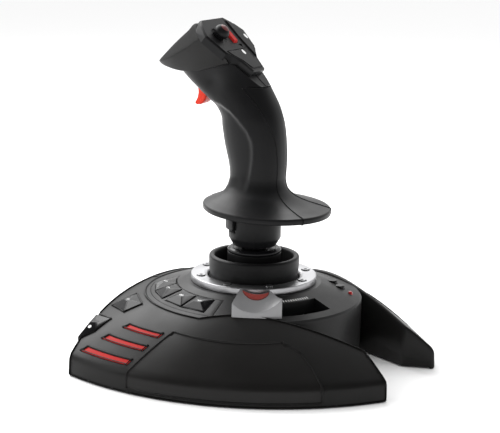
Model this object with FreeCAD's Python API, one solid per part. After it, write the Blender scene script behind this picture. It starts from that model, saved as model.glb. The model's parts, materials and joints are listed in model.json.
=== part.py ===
import FreeCAD, Part
import math
import os

V = FreeCAD.Vector
os.makedirs("parts", exist_ok=True)

# ---------------------------------------------------------------------------
# Frame: origin on the floor under the stick axis, +Y away from the player,
# +X to the player's right, +Z up.  All lengths in millimetres.
# ---------------------------------------------------------------------------

# Base plan: each wing is an arc about a centre on the far side of the axis.
ARC_X = 55.0
ARC_Y = 22.0
ARC_R = 166.0
SKIRT_Z = 13.0
SKIRT_DRAFT = 0.7
CREST_Z = 43.5
DOME_BULGE = 2.0
FRONT_Y = 79.5
FRONT_SWEEP = 3.0
FRONT_HALF = 100.0
FLOOR_GAP = 1.2
SHELL = 2.8

# Rear notch between the two claws.
CLAW_ROOT = (52.5, -47.5)
CLAW_INNER = (31.5, -96.5)
CLAW_TIP = (38.0, -115.0)

# Turret and trim ring.
TURRET_R = 72.0
TURRET_WALL = 2.5
SEAT_R = 45.0
SEAT_Z = 52.6
SEAT_THICK = 2.6
MOUTH_R = 24.6
RING_R = 41.5
RING_Z = 57.0
RING_SCREW_R = 36.0
CUP_R = 29.8
CUP_Z = 70.0

# Gimbal.
PIVOT_Z = 45.0
PIN_R = 2.0
FIT = 0.05
BALL_R = 22.5
YOKE_R = 13.0
COLLAR_R = 17.7
COLLAR_Z = 75.0
POST_R = 8.0

# Throttle.
THROTTLE_A0 = 197.5
THROTTLE_A1 = 224.0
THROTTLE_TRAVEL = 31.0
SLOT_R0 = 52.2
SLOT_R1 = 65.5
SLOT_A0 = 200.0
SLOT_A1 = 257.5
LEVER_R0 = 42.6
LEVER_R1 = 68.4
LEVER_GAP = 0.45
SCOOP_R = 21.6
SCOOP_Z = 49.2
SCOOP_RISE = 0.188

# Neck and hand rest.
NECK_R = 17.3
NECK_Z0 = 76.2
NECK_Z1 = 100.4
REST_R = 42.0
REST_Y = -8.6
REST_Z0 = 100.4
REST_Z1 = 104.6

# Thumb plate plane: top middle point, slope direction and outward normal.
PLATE_TOP = V(0, 35.1, 222.3)
PLATE_SLOPE = math.radians(40.1)
PLATE_THICK = 6.0

# Grip column sections: height, half width, half depth, centre offset.
COLUMN = [
    (122.0, 16.0, 18.6, -0.8),
    (130.0, 16.5, 19.4, -0.4),
    (142.0, 17.0, 20.8, 1.3),
    (154.0, 17.5, 21.2, 3.1),
    (162.0, 17.5, 21.1, 4.6),
    (170.0, 17.0, 22.8, 9.2),
    (177.5, 16.5, 24.8, 15.2),
    (185.0, 16.0, 26.5, 21.2),
    (190.0, 16.0, 27.6, 24.8),
    (197.0, 16.0, 26.0, 27.0),
]

# Hand rest flare: height, share of the way from the column to the rim.
FLARE = [(104.6, 1.0), (105.8, 0.78), (107.6, 0.52), (110.4, 0.26), (114.6, 0.07), (122.0, 0.0)]

GAP = 0.3


# ------------------------------- helpers -----------------------------------

def polar(radius, degrees, z=0.0):
    angle = math.radians(degrees)
    return V(radius * math.cos(angle), radius * math.sin(angle), z)


def face_of(points):
    return Part.Face(Part.makePolygon(points + [points[0]]))


def prism(points, z0, z1, grow=0.0):
    face = face_of([V(p[0], p[1], z0) for p in points])
    if grow:
        face = face.makeOffset2D(grow, join=2)
        face = Part.Face(face.Wires[0]) if not face.Faces else face.Faces[0]
    return face.extrude(V(0, 0, z1 - z0))


def cyl(radius, z0, z1, x=0.0, y=0.0):
    return Part.makeCylinder(radius, z1 - z0, V(x, y, z0))


def tube(outer, inner, z0, z1, x=0.0, y=0.0):
    return cyl(outer, z0, z1, x, y).cut(cyl(inner, z0 - 1, z1 + 1, x, y))


def rod(radius, start, end):
    axis = end.sub(start)
    return Part.makeCylinder(radius, axis.Length, start, axis)


def block(x0, x1, y0, y1, z0, z1):
    return Part.makeBox(x1 - x0, y1 - y0, z1 - z0, V(x0, y0, z0))


def revolved(profile, x=0.0, y=0.0):
    face = face_of([V(x + r, y, z) for r, z in profile])
    return face.revolve(V(x, y, 0), V(0, 0, 1), 360)


def sector_face(r0, r1, a0, a1, z):
    mid = 0.5 * (a0 + a1)
    outer = Part.Arc(polar(r1, a0, z), polar(r1, mid, z), polar(r1, a1, z)).toShape()
    inner = Part.Arc(polar(r0, a1, z), polar(r0, mid, z), polar(r0, a0, z)).toShape()
    side_a = Part.makeLine(polar(r1, a1, z), polar(r0, a1, z))
    side_b = Part.makeLine(polar(r0, a0, z), polar(r1, a0, z))
    return Part.Face(Part.Wire([outer, side_a, inner, side_b]))


def sector(r0, r1, a0, a1, z0, z1):
    return sector_face(r0, r1, a0, a1, z0).extrude(V(0, 0, z1 - z0))


def mirrored(shape):
    return shape.mirror(V(0, 0, 0), V(1, 0, 0))


def joined(shapes):
    return shapes[0].multiFuse(shapes[1:]) if len(shapes) > 1 else shapes[0]


def circle_wire(x, y, radius, z):
    return Part.Wire([Part.makeCircle(radius, V(x, y, z), V(0, 0, 1))])


def oval(x, y, z, half_x, half_y, power=2.3, count=28):
    points = []
    for i in range(count):
        t = 2 * math.pi * i / count - 0.5 * math.pi
        c = math.cos(t)
        s = math.sin(t)
        px = half_x * math.copysign(abs(c) ** (2.0 / power), c)
        py = half_y * math.copysign(abs(s) ** (2.0 / power), s)
        points.append(V(x + px, y + py, z))
    curve = Part.BSplineCurve()
    curve.interpolate(Points=points, PeriodicFlag=True)
    return Part.Wire([curve.toShape()])


def solid_from(faces):
    solid = Part.makeSolid(Part.makeShell(faces))
    if solid.Volume < 0:
        solid.reverse()
    return solid


def coil(radius, wire, pitch, turns, start, axis):
    helix = Part.makeHelix(pitch, pitch * turns, radius)
    profile = Part.Wire([Part.makeCircle(wire, V(radius, 0, 0), V(0, 1, 0))])
    body = Part.Wire(helix.Edges).makePipeShell([profile], True, True)
    body.Placement = FreeCAD.Placement(start, FreeCAD.Rotation(V(0, 0, 1), axis))
    return body


def save(name, shape):
    shape.exportStep("parts/" + name + ".step")
    box = shape.BoundBox
    heights = "z %.1f..%.1f" % (box.ZMin, box.ZMax)
    print("%-22s solids %d valid %s %s" % (name, len(shape.Solids), shape.isValid(), heights))


# ------------------------- base outside and inside --------------------------

def wing_dome(side, inset, drop):
    x = side * ARC_X
    rim = ARC_R - SKIRT_DRAFT - inset
    top = SKIRT_Z - drop
    skirt = Part.makeCone(ARC_R - inset, rim, top + 5.0, V(x, ARC_Y, -5.0))
    sections = []
    for t in (0.0, 0.5, 1.0):
        z = top + (CREST_Z - SKIRT_Z) * t + 4 * DOME_BULGE * t * (1 - t)
        sections.append(circle_wire(x * (1 - t), ARC_Y * (1 - t), rim + (TURRET_R - rim) * t, z))
    return skirt.fuse(Part.makeLoft(sections, True, False))


def notch(grow):
    half = [CLAW_ROOT, CLAW_INNER, CLAW_TIP, (CLAW_TIP[0] + 5.0, -150.0)]
    points = half + [(-x, y) for x, y in reversed(half)]
    return prism(points, -10, 80, grow)


def base_mass(inset, drop):
    sweep_r = (FRONT_HALF ** 2 + FRONT_SWEEP ** 2) / (2 * FRONT_SWEEP)
    centre = V(0, FRONT_Y - sweep_r, -10.0)
    front = Part.makeCone(sweep_r - inset + 0.5, sweep_r - inset - 3.0, 70.0, centre)
    mass = wing_dome(1, inset, drop).common(wing_dome(-1, inset, drop))
    return mass.common(front).cut(notch(inset))


def dome_z(x, y):
    heights = []
    for side in (1, -1):
        cx = side * ARC_X
        spread = ARC_R - SKIRT_DRAFT - TURRET_R
        a = cx * cx + ARC_Y * ARC_Y - spread * spread
        b = -2 * (x * cx + y * ARC_Y) - 2 * TURRET_R * spread
        c = x * x + y * y - TURRET_R * TURRET_R
        root = (-b - math.sqrt(b * b - 4 * a * c)) / (2 * a)
        other = (-b + math.sqrt(b * b - 4 * a * c)) / (2 * a)
        t = min((root, other), key=lambda value: abs(value - 0.5))
        heights.append(CREST_Z - (CREST_Z - SKIRT_Z) * t + 4 * DOME_BULGE * t * (1 - t))
    return min(heights)


def turret_z(x, y):
    slope = (SEAT_Z - CREST_Z) / (TURRET_R - SEAT_R)
    return CREST_Z + (TURRET_R - math.hypot(x, y)) * slope


OUTSIDE = base_mass(0.0, 0.0)
INSIDE = base_mass(SHELL, 3.4)


def skin(depth0, depth1):
    return base_mass(depth0, 1.25 * depth0).cut(base_mass(depth1, 1.25 * depth1))


def skin_cutter(depth):
    return skin(-1.0, depth)


# Side panel outline in plan for the left wing.
def panel_plan():
    arc = [polar(84.5, a) for a in (173.0, 185.0, 197.0, 209.0, 221.5)]
    right = [V(-61.8, -67.4, 0), V(-64.9, -77.6, 0), V(-69.5, -87.0, 0), V(-86.0, -122.0, 0)]
    left = [V(-150.0, 54.5, 0), V(-109.8, 27.4, 0)]
    return [(p.x, p.y) for p in arc + right + [V(-150.0, -122.0, 0)] + left]


STRIP_PLAN = [(-74.3, 38.0), (-104.2, 79.5), (-118.0, 60.0), (-113.6, 35.9), (-78.8, 11.9)]
STRIP_BANDS = [(32.1, 34.0), (25.0, 27.3), (17.1, 19.7)]

# Faceted buttons on the front edge, left wing.
WING_CAPS = [
    [(-57.0, 73.8), (-42.6, 64.6), (-59.4, 49.8), (-67.0, 58.2)],
    [(-66.6, 80.4), (-73.6, 64.4), (-83.6, 70.0), (-87.6, 80.4)],
]
# Crescent buttons on the turret, start and end bearing.
CRESCENT_R0 = 51.9
CRESCENT_R1 = 65.4
CRESCENT_SPANS = [(165.0, 180.4), (148.6, 164.0), (129.6, 144.8), (113.2, 128.6)]


def faceted_cap(points, height, floor, lip, rise):
    rim = [V(x, y, height(x, y) + lip) for x, y in points]
    foot = [V(x, y, floor) for x, y in points]
    cx = sum(p[0] for p in points) / len(points)
    cy = sum(p[1] for p in points) / len(points)
    apex = V(cx, cy, height(cx, cy) + rise)
    faces = [face_of(foot)]
    count = len(points)
    for i in range(count):
        j = (i + 1) % count
        faces.append(face_of([foot[i], foot[j], rim[j], rim[i]]))
        faces.append(face_of([rim[i], rim[j], apex]))
    return solid_from(faces)


def crescent_quad(a0, a1):
    outer = [polar(CRESCENT_R1, a0), polar(CRESCENT_R1, a1)]
    corners = outer + [polar(CRESCENT_R0, a1), polar(CRESCENT_R0, a0)]
    return [(p.x, p.y) for p in corners]


def centre_of(points):
    return sum(p[0] for p in points) / len(points), sum(p[1] for p in points) / len(points)


# ------------------------------ base pieces ---------------------------------

panel_cut = prism(panel_plan(), 3.6, 60, 0.35)
strip_solid = []
strip_cut = []
for low, high in STRIP_BANDS:
    strip_solid.append(prism(STRIP_PLAN, low, high))
    strip_cut.append(prism(STRIP_PLAN, low - 0.15, high + 0.15, 0.15))

shell = OUTSIDE.cut(INSIDE).cut(block(-200, 200, -200, 200, -20, FLOOR_GAP))
shell = shell.cut(cyl(TURRET_R + GAP, -5, 80))
panel_left = skin(0.0, 1.5).common(prism(panel_plan(), 3.95, 60))
strips = skin(0.5, 1.9).common(joined(strip_solid))
strip_pocket = skin_cutter(2.0).common(joined(strip_cut))
panel_pocket = skin_cutter(1.6).common(panel_cut)

wing_buttons = []
for points in WING_CAPS:
    middle = centre_of(points)
    floor = min(dome_z(x, y) for x, y in points) - 3.5
    cap = faceted_cap(points, dome_z, floor, 0.5, 3.2)
    stem = cyl(2.2, floor - 5.0, floor + 1.0, middle[0], middle[1])
    wing_buttons.append(cap.fuse(stem))
    pocket = prism(points, floor - 1.6, 70, 0.45)
    shell = shell.cut(pocket).cut(mirrored(pocket))
    stem_hole = cyl(2.7, floor - 12, floor + 1, middle[0], middle[1])
    shell = shell.cut(stem_hole).cut(mirrored(stem_hole))

GLAND_X = 24.0
GLAND_Z = 14.0


def gland_rod(radius, y0, y1):
    return rod(radius, V(GLAND_X, y0, GLAND_Z), V(GLAND_X, y1, GLAND_Z))


shell = shell.cut(gland_rod(4.6, 60, 95))

BOSSES = [(-84.0, 44.0), (84.0, 44.0), (-90.0, -30.0), (90.0, -30.0), (-50.0, -84.0), (50.0, -84.0)]
posts = []
for x, y in BOSSES:
    posts.append(cyl(4.2, 5.0, dome_z(x, y) - 2.0, x, y).cut(cyl(1.3, 0.0, 14.5, x, y)))
shell = shell.fuse(joined(posts).common(OUTSIDE))
for pocket in (panel_pocket, strip_pocket):
    shell = shell.cut(pocket).cut(mirrored(pocket))

save("base_shell", shell)
save("side_panel_left", panel_left)
save("side_panel_right", mirrored(panel_left))
save("accent_strips", Part.makeCompound([strips, mirrored(strips)]))

# Base plate: one flat tray closing the underside of wings and turret.
PLATE_Z1 = 3.8
plate_inner = base_mass(SHELL + GAP, 0.0).common(block(-200, 200, -200, 200, FLOOR_GAP, PLATE_Z1))
plate_round = cyl(TURRET_R - TURRET_WALL - GAP, FLOOR_GAP, PLATE_Z1)
base_plate = plate_inner.cut(cyl(TURRET_R + GAP, -1, 10)).fuse(plate_round)
bridge = tube(TURRET_R + 4, TURRET_R - 6, FLOOR_GAP, 2.2)
bridge = bridge.common(base_mass(SHELL + GAP, 0.0))
base_plate = base_plate.fuse(bridge)
for x, y in BOSSES:
    base_plate = base_plate.cut(cyl(1.6, -1, 6, x, y)).cut(cyl(3.2, -1, 2.3, x, y))
base_plate = base_plate.cut(cyl(6.0, -1, 6))
stands = []
for bearing in (20.0, 160.0, 270.0):
    stands.append(tube(3.0, 1.2, 3.0, 12.0, polar(52, bearing).x, polar(52, bearing).y))
for bearing in (195.0, 222.0, 249.0):
    stands.append(cyl(2.0, 3.0, 31.0, polar(49, bearing).x, polar(49, bearing).y))
base_plate = base_plate.fuse(joined(stands))
save("base_plate", base_plate)

screws = []
for x, y in BOSSES:
    screws.append(cyl(2.6, 0.9, 2.2, x, y).fuse(cyl(1.25, 2.0, 13.5, x, y)))
save("base_screws", Part.makeCompound(screws))

pads = [tube(14.0, 7.0, 0.0, FLOOR_GAP)]
for x, y in ((-88.0, 58.0), (88.0, 58.0), (-48.0, -100.0), (48.0, -100.0), (-100.0, 0.0), (100.0, 0.0)):
    pads.append(cyl(5.0, 0.0, FLOOR_GAP, x, y))
save("rubber_feet", Part.makeCompound(pads))

weights = []
for side in (1, -1):
    corners = [(side * 78, -20), (side * 96, -20), (side * 96, 24), (side * 78, 24)]
    weights.append(prism(corners, PLATE_Z1 + 0.1, 9.9))
save("ballast_weights", Part.makeCompound(weights))

# Cable gland: bush through the front wall, outer flange, inner flange, clear bore.
gland = gland_rod(4.3, 70, 81.5).fuse(gland_rod(6.2, 80.2, 84.5)).fuse(gland_rod(5.6, 70, 74.2))
save("cable_gland", gland.cut(gland_rod(2.6, 60, 90)))

# Turret cover: cylindrical wall, shallow cone and flat seat for the ring.
cover = revolved([
    (TURRET_R, FLOOR_GAP), (TURRET_R, CREST_Z - 1.0), (TURRET_R - 1.0, CREST_Z + 0.2), (SEAT_R, SEAT_Z),
    (MOUTH_R, SEAT_Z), (MOUTH_R, SEAT_Z - SEAT_THICK), (SEAT_R - 1.0, SEAT_Z - SEAT_THICK),
    (TURRET_R - TURRET_WALL, CREST_Z - 2.9), (TURRET_R - TURRET_WALL, FLOOR_GAP)])
cover = cover.cut(sector(SLOT_R0, SLOT_R1, SLOT_A0, SLOT_A1, 30, 60))
cover = cover.cut(tube(TURRET_R + 1, TURRET_R - 6.5, 0, 2.5).common(base_mass(SHELL, 0.0)))
for i in range(8):
    spot = polar(RING_SCREW_R, 45 * i)
    cover = cover.cut(cyl(1.7, 40, 60, spot.x, spot.y))

# Crescent panel let into the cone, with four windows.
CRESCENT_A0 = 106.0
CRESCENT_A1 = 187.0
cone_top = revolved([(71.0, CREST_Z + 0.2), (71.0, 60.0), (SEAT_R, 60.0), (SEAT_R, SEAT_Z)])
shelf = revolved([(71.0, CREST_Z - 1.4), (71.0, 60.0), (SEAT_R, 60.0), (SEAT_R, SEAT_Z - 1.6)])
shelf_room = revolved([(71.0, CREST_Z - 1.5), (71.0, 60.0), (SEAT_R, 60.0), (SEAT_R, SEAT_Z - 1.7)])
cover = cover.cut(shelf_room.common(sector(50.6, 68.4, CRESCENT_A0, CRESCENT_A1, 30, 60)))
panel_c = shelf.cut(cone_top).common(sector(50.9, 68.1, CRESCENT_A0 + 0.3, CRESCENT_A1 - 0.3, 30, 60))
crescent_buttons = []
for a0, a1 in CRESCENT_SPANS:
    points = crescent_quad(a0, a1)
    middle = centre_of(points)
    floor = min(turret_z(x, y) for x, y in points) - 3.0
    cap = faceted_cap(points, turret_z, floor, 0.5, 2.6)
    crescent_buttons.append(cap.fuse(cyl(2.0, floor - 4.0, floor + 1.0, middle[0], middle[1])))
    panel_c = panel_c.cut(prism(points, 30, 70, 0.4))
    cover = cover.cut(prism(points, 30, 70, 0.5))

# Two small round buttons and a lamp at the rear right of the turret.
SMALL_SPOTS = [(53.5, 307.0), (57.5, 298.5)]
LAMP_SPOT = (64.5, 292.5)
small_buttons = []
for radius, bearing in SMALL_SPOTS:
    spot = polar(radius, bearing)
    z = turret_z(spot.x, spot.y)
    cap = cyl(3.2, z - 3.0, z + 1.4, spot.x, spot.y)
    cap = cap.makeFillet(0.6, [cap.Edges[0]])
    small_buttons.append(cap.fuse(cyl(1.6, z - 7.0, z - 2.0, spot.x, spot.y)))
    cover = cover.cut(cyl(3.5, 30, 70, spot.x, spot.y))
lamp = polar(LAMP_SPOT[0], LAMP_SPOT[1])
lamp_z = turret_z(lamp.x, lamp.y)
cover = cover.cut(cyl(1.7, 30, 70, lamp.x, lamp.y))
lamp_dome = Part.makeSphere(1.6, V(lamp.x, lamp.y, lamp_z))
lens = cyl(1.6, lamp_z - 4.5, lamp_z, lamp.x, lamp.y).fuse(lamp_dome)
save("lamp_lens", lens)
save("turret_cover", cover)
save("crescent_panel", panel_c)
for i, cap in enumerate(crescent_buttons):
    save("crescent_button_%d" % (i + 1), cap)
for i, cap in enumerate(wing_buttons):
    save("wing_button_%d" % (i + 1), cap)
    save("wing_button_%d" % (i + 3), mirrored(cap))
save("preset_button", small_buttons[0])
save("mapping_button", small_buttons[1])

# Switch boards under the buttons.
save("crescent_board", sector(50.5, 64.5, 110.0, 183.0, 34.0, 35.6))
boards = []
for points in WING_CAPS:
    x, y = centre_of(points)
    floor = min(dome_z(px, py) for px, py in points) - 3.5
    edge_y = min(y + 4.0, 73.6)
    boards.append(block(x - 8, x + 8, edge_y - 9.0, edge_y, floor - 8.2, floor - 6.6))
wing_board = Part.makeCompound(boards + [mirrored(b) for b in boards])
save("wing_boards", wing_board)
rear_board = sector(48.0, 66.0, 288.0, 312.0, 34.5, 36.1)
save("rear_board", rear_board)
main_board = block(-34, 34, -30, 34, 12.2, 13.8).fuse(block(-12, 12, -10, 10, 13.8, 15.8))
main_board = main_board.fuse(block(-56, 56, 10, 24, 12.2, 13.8)).fuse(block(-6, 6, -56, -28, 12.2, 13.8))
save("main_board", main_board)

# Trim ring: silver cover with a skirt and countersunk holes.
ring = revolved([
    (RING_R, SEAT_Z + 0.1), (RING_R, RING_Z - 1.2), (RING_R - 1.0, RING_Z), (30.4, RING_Z),
    (30.4, SEAT_Z + 1.8), (33.6, SEAT_Z + 1.8), (33.6, SEAT_Z + 0.1)])
ring_screws = []
for i in range(8):
    spot = polar(RING_SCREW_R, 45 * i)
    ring = ring.cut(cyl(1.7, 50, 60, spot.x, spot.y)).cut(cyl(2.9, RING_Z - 0.9, 60, spot.x, spot.y))
    head = cyl(2.5, RING_Z - 0.9, RING_Z + 0.7, spot.x, spot.y)
    socket = prism([(spot.x + 1.2 * math.cos(k * math.pi / 3), spot.y + 1.2 * math.sin(k * math.pi / 3))
                    for k in range(6)], RING_Z - 0.2, RING_Z + 2)
    ring_screws.append(head.fuse(cyl(1.35, 47.6, RING_Z - 0.5, spot.x, spot.y)).cut(socket))
save("trim_ring", ring)
save("ring_screws", Part.makeCompound(ring_screws))

# Rubber cup standing in the ring, rounded rim, tapered mouth.
cup_profile = [
    (33.2, SEAT_Z + 0.1), (33.2, SEAT_Z + 1.6), (30.0, SEAT_Z + 1.6), (29.2, SEAT_Z + 3.0), (CUP_R, 64.5)]
for k in range(7):
    t = math.radians(k * 30.0)
    cup_profile.append((CUP_R - 2.0 + 2.0 * math.cos(t), CUP_Z - 2.0 + 2.0 * math.sin(t)))
cup_profile += [(24.9, 60.0), (MOUTH_R, 57.0), (MOUTH_R, SEAT_Z + 0.1)]
save("cup_collar", revolved(cup_profile))

# Gimbal housing hung under the turret seat.
housing = tube(28.5, 25.2, 30.0, 49.9)
housing = housing.fuse(tube(30.95, 28.0, 30.0, 38.6))
housing = housing.fuse(tube(34.0, 28.0, 30.0, 33.0))
flange = tube(40.0, 28.0, 47.4, 49.9)
for i in range(8):
    spot = polar(RING_SCREW_R, 45 * i)
    flange = flange.cut(cyl(1.4, 40, 60, spot.x, spot.y))
flange = flange.cut(block(-5.4, 5.4, 28.6, 45, 40, 55))
flange = flange.fuse(tube(39.0, 36.8, 46.0, 47.4)).cut(block(-5.4, 5.4, 28.6, 45, 40, 55))
housing = housing.fuse(flange)
housing = housing.cut(rod(PIN_R + FIT, V(0, -40, PIVOT_Z), V(0, 40, PIVOT_Z)))
save("gimbal_housing", housing)

# Roll axis along Y: yoke ring, sensor on the housing, torsion spring on the pin.
YOKE_BORE = 9.6
yoke = tube(YOKE_R, YOKE_BORE, PIVOT_Z - 4.0, PIVOT_Z + 4.0)
yoke = yoke.fuse(rod(PIN_R, V(0, YOKE_R - 1.5, PIVOT_Z), V(0, 35.0, PIVOT_Z)))
yoke = yoke.fuse(rod(PIN_R, V(0, -YOKE_R + 1.5, PIVOT_Z), V(0, -29.8, PIVOT_Z)))
yoke = yoke.cut(rod(PIN_R + FIT, V(-30, 0, PIVOT_Z), V(30, 0, PIVOT_Z)))
save("roll_yoke", yoke)
roll_sensor = rod(4.4, V(0, 28.8, PIVOT_Z), V(0, 34.3, PIVOT_Z))
roll_sensor = roll_sensor.cut(rod(PIN_R + FIT, V(0, 20, PIVOT_Z), V(0, 40, PIVOT_Z)))
save("roll_sensor", roll_sensor)
save("roll_spring", coil(3.3, 0.55, 1.5, 3, V(0, -18.6, PIVOT_Z), V(0, 1, 0)))
pitch_sensor = rod(4.2, V(YOKE_R - 0.6, 0, PIVOT_Z), V(20.4, 0, PIVOT_Z)).cut(cyl(YOKE_R + 0.02, 0, 90))
pitch_sensor = pitch_sensor.cut(rod(PIN_R + FIT, V(0, 0, PIVOT_Z), V(40, 0, PIVOT_Z)))
save("pitch_sensor", pitch_sensor)
save("pitch_spring", coil(3.3, 0.55, 1.5, 3, V(-19.0, 0, PIVOT_Z), V(1, 0, 0)))

# Cradle: block on the pitch axis with a hollow post up into the grip.
cradle = cyl(8.0, PIVOT_Z - 5.0, PIVOT_Z + 6.0)
cradle = cradle.fuse(rod(PIN_R, V(-21.0, 0, PIVOT_Z), V(21.0, 0, PIVOT_Z)))
cradle = cradle.fuse(cyl(POST_R, PIVOT_Z + 5.0, 99.0))
cradle = cradle.fuse(cyl(6.0, 98.0, 106.0)).fuse(cyl(3.0, 105.0, 113.0))
cradle = cradle.cut(cyl(1.6, 30, 120))
save("stick_cradle", cradle)

# Ball boot: hollow part sphere with a straight shoulder, under a glossy ring.
BALL_Z0 = 52.5
BOOT_Z1 = 71.8
BOOT_BORE = POST_R + 0.02
BALL_STEPS = 8
ball_z1 = PIVOT_Z + math.sqrt(BALL_R ** 2 - COLLAR_R ** 2)
inner_r = BALL_R - 2.0
inner_edge = math.sqrt(inner_r ** 2 - (BALL_Z0 - PIVOT_Z) ** 2)
ball_profile = []
for k in range(BALL_STEPS + 1):
    z = BALL_Z0 + (ball_z1 - BALL_Z0) * k / BALL_STEPS
    ball_profile.append((math.sqrt(BALL_R ** 2 - (z - PIVOT_Z) ** 2), z))
ball_profile += [(COLLAR_R, BOOT_Z1), (BOOT_BORE, BOOT_Z1)]
for k in range(BALL_STEPS + 1):
    x = BOOT_BORE + (inner_edge - BOOT_BORE) * k / BALL_STEPS
    ball_profile.append((x, PIVOT_Z + math.sqrt(inner_r ** 2 - x * x)))
save("ball_boot", revolved(ball_profile))
save("collar_ring", revolved([
    (BOOT_BORE, 71.9), (COLLAR_R - 0.6, 71.9), (COLLAR_R, 72.5), (COLLAR_R, 73.6), (COLLAR_R - 0.5, 74.5),
    (COLLAR_R - 1.6, COLLAR_Z), (14.6, COLLAR_Z), (13.8, 74.4), (BOOT_BORE, 74.4)]))

# Neck collar turning on the post, with the lock slider in its side.
neck = revolved([
    (POST_R + 0.07, NECK_Z0), (13.6, NECK_Z0), (14.4, 77.0), (NECK_R, 82.0), (NECK_R, NECK_Z1),
    (POST_R + 0.07, NECK_Z1)])
SLIDER_A0 = 86.0
SLIDER_A1 = 160.0
neck = neck.cut(sector(14.2, 25.0, SLIDER_A0 - 1.0, SLIDER_A1 + 1.0, 86.0, 96.6))
save("neck_collar", neck)
slider = sector(14.5, 19.4, SLIDER_A0, SLIDER_A1, 87.8, 94.4)
slider = slider.cut(sector(18.6, 20.0, 118.0, 130.0, 89.6, 92.6))
save("lock_slider", slider)
save("twist_spring", coil(7.4, 0.6, 1.5, 3, V(0, 0, 100.4), V(0, 0, 1)))
twist_sensor = tube(9.0, 3.05, 107.0, 112.6)
save("twist_sensor", twist_sensor)


# ------------------------------ grip and head -------------------------------

SLOPE_DIR = V(0, -math.cos(PLATE_SLOPE), -math.sin(PLATE_SLOPE))
NORMAL = V(0, -math.sin(PLATE_SLOPE), math.cos(PLATE_SLOPE))


def on_plate(x, along, depth=0.0):
    return PLATE_TOP + V(x, 0, 0) + SLOPE_DIR * along - NORMAL * depth


def plate_prism(points, depth0, depth1, grow=0.0):
    face = face_of([on_plate(x, q, depth0) for x, q in points])
    if grow:
        face = face.makeOffset2D(grow, join=2)
        face = Part.Face(face.Wires[0]) if not face.Faces else face.Faces[0]
    return face.extrude(NORMAL * (depth0 - depth1))


def column_mass(inset):
    wires = []
    for z, share in FLARE[:-1]:
        half_x = COLUMN[0][1] + (REST_R - COLUMN[0][1]) * share
        half_y = COLUMN[0][2] + (REST_R - COLUMN[0][2]) * share
        middle = COLUMN[0][3] + (REST_Y - COLUMN[0][3]) * share
        power = 2.3 - 0.3 * share
        wires.append(oval(0, middle, z, half_x, half_y, power))
    for z, half_x, half_y, middle in COLUMN:
        wires.append(oval(0, middle, z, half_x, half_y))
    return Part.makeLoft(wires, True, False)


def column_bore(wall):
    wires = []
    for z, half_x, half_y, middle in COLUMN:
        wires.append(oval(0, middle, z, half_x - wall, half_y - wall))
    upper = Part.makeLoft(wires, True, False)
    return upper.fuse(cyl(13.0, 99.5, 123.0))


PLATE_HALF = [
    (13.9, -0.8), (19.3, 4.2), (24.0, 12.6), (23.0, 16.4), (19.2, 29.0), (15.8, 32.0), (10.8, 37.2),
    (7.4, 47.0)]
PLATE_OUT = PLATE_HALF + [(-x, q) for x, q in reversed(PLATE_HALF)]


def beak():
    sections = [
        [(3.6, 74.6, 192.9), (4.4, 74.2, 192.0), (3.4, 73.2, 190.9)],
        [(8.4, 58.6, 204.9), (10.6, 60.4, 196.0), (8.6, 60.0, 189.6)],
        [(13.9, 39.2, 220.0), (20.6, 32.4, 210.2), (15.6, 40.0, 189.6)],
        [(19.0, 14.0, 203.0), (19.2, 12.6, 198.6), (18.0, 11.6, 196.4)],
    ]
    rings = []
    for half in sections:
        rings.append([V(-x, y, z) for x, y, z in half] + [V(x, y, z) for x, y, z in reversed(half)])
    faces = []
    for ring_a, ring_b in zip(rings, rings[1:]):
        for i in range(6):
            j = (i + 1) % 6
            faces.append(face_of([ring_a[i], ring_a[j], ring_b[j]]))
            faces.append(face_of([ring_a[i], ring_b[j], ring_b[i]]))
    for end in (rings[0], rings[-1]):
        faces.append(face_of([end[0], end[1], end[4], end[5]]))
        faces.append(face_of([end[1], end[2], end[3], end[4]]))
    return solid_from(faces)


rest_rims = [oval(0, REST_Y, z, REST_R, REST_R, 2.0) for z in (REST_Z0, REST_Z1)]
grip_mass = column_mass(0).fuse(Part.makeLoft(rest_rims, True, True))
bore = column_bore(2.4)
beak_mass = beak()
plate_room = plate_prism(PLATE_OUT, -30.0, PLATE_THICK + 0.15, 0.15)
above_plate = plate_prism([(-60, -3.0), (60, -3.0), (60, 80), (-60, 80)], -60.0, PLATE_THICK + 0.15)

grip_shell = grip_mass.cut(bore).cut(above_plate).cut(beak_mass)
grip_shell = grip_shell.cut(block(-5.6, 5.6, 18, 70, 160, 184.5))
TRIGGER_PIN = V(0, 37.0, 181.0)
pin_solid = rod(1.5, TRIGGER_PIN - V(9.0, 0, 0), TRIGGER_PIN + V(9.0, 0, 0))
grip_shell = grip_shell.cut(pin_solid)

# Palm cover: seam line in side view, then the fan it takes out of the hand rest.
palm_profile = [
    (6.0, 181.5), (-7.7, 167.6), (-14.6, 151.7), (-15.6, 135.0), (-15.4, 121.0), (-15.4, 112.0),
    (-70.0, 112.0), (-70.0, 185.0), (-6.0, 182.5)]
palm_upper = face_of([V(-40, y, z) for y, z in palm_profile]).extrude(V(80, 0, 0))
palm_fan = [(-9.0, -17.2), (-9.0, -27.0), (-25.5, -60.0), (25.5, -60.0), (9.0, -27.0), (9.0, -17.2)]
palm_lower = prism(palm_fan, 95, 112.01)
palm_region = palm_upper.fuse(palm_lower)
palm_cover = grip_shell.common(palm_region)
seam_room = palm_region.copy()
seam_room.translate(V(0, 0.25, 0))
shells = grip_shell.cut(seam_room).cut(palm_region)
left_half = shells.common(block(-80, -0.06, -90, 90, 80, 240))
right_half = shells.common(block(0.06, 80, -90, 90, 80, 240))
save("grip_left", left_half)
save("grip_right", right_half)
save("palm_cover", palm_cover)

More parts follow.
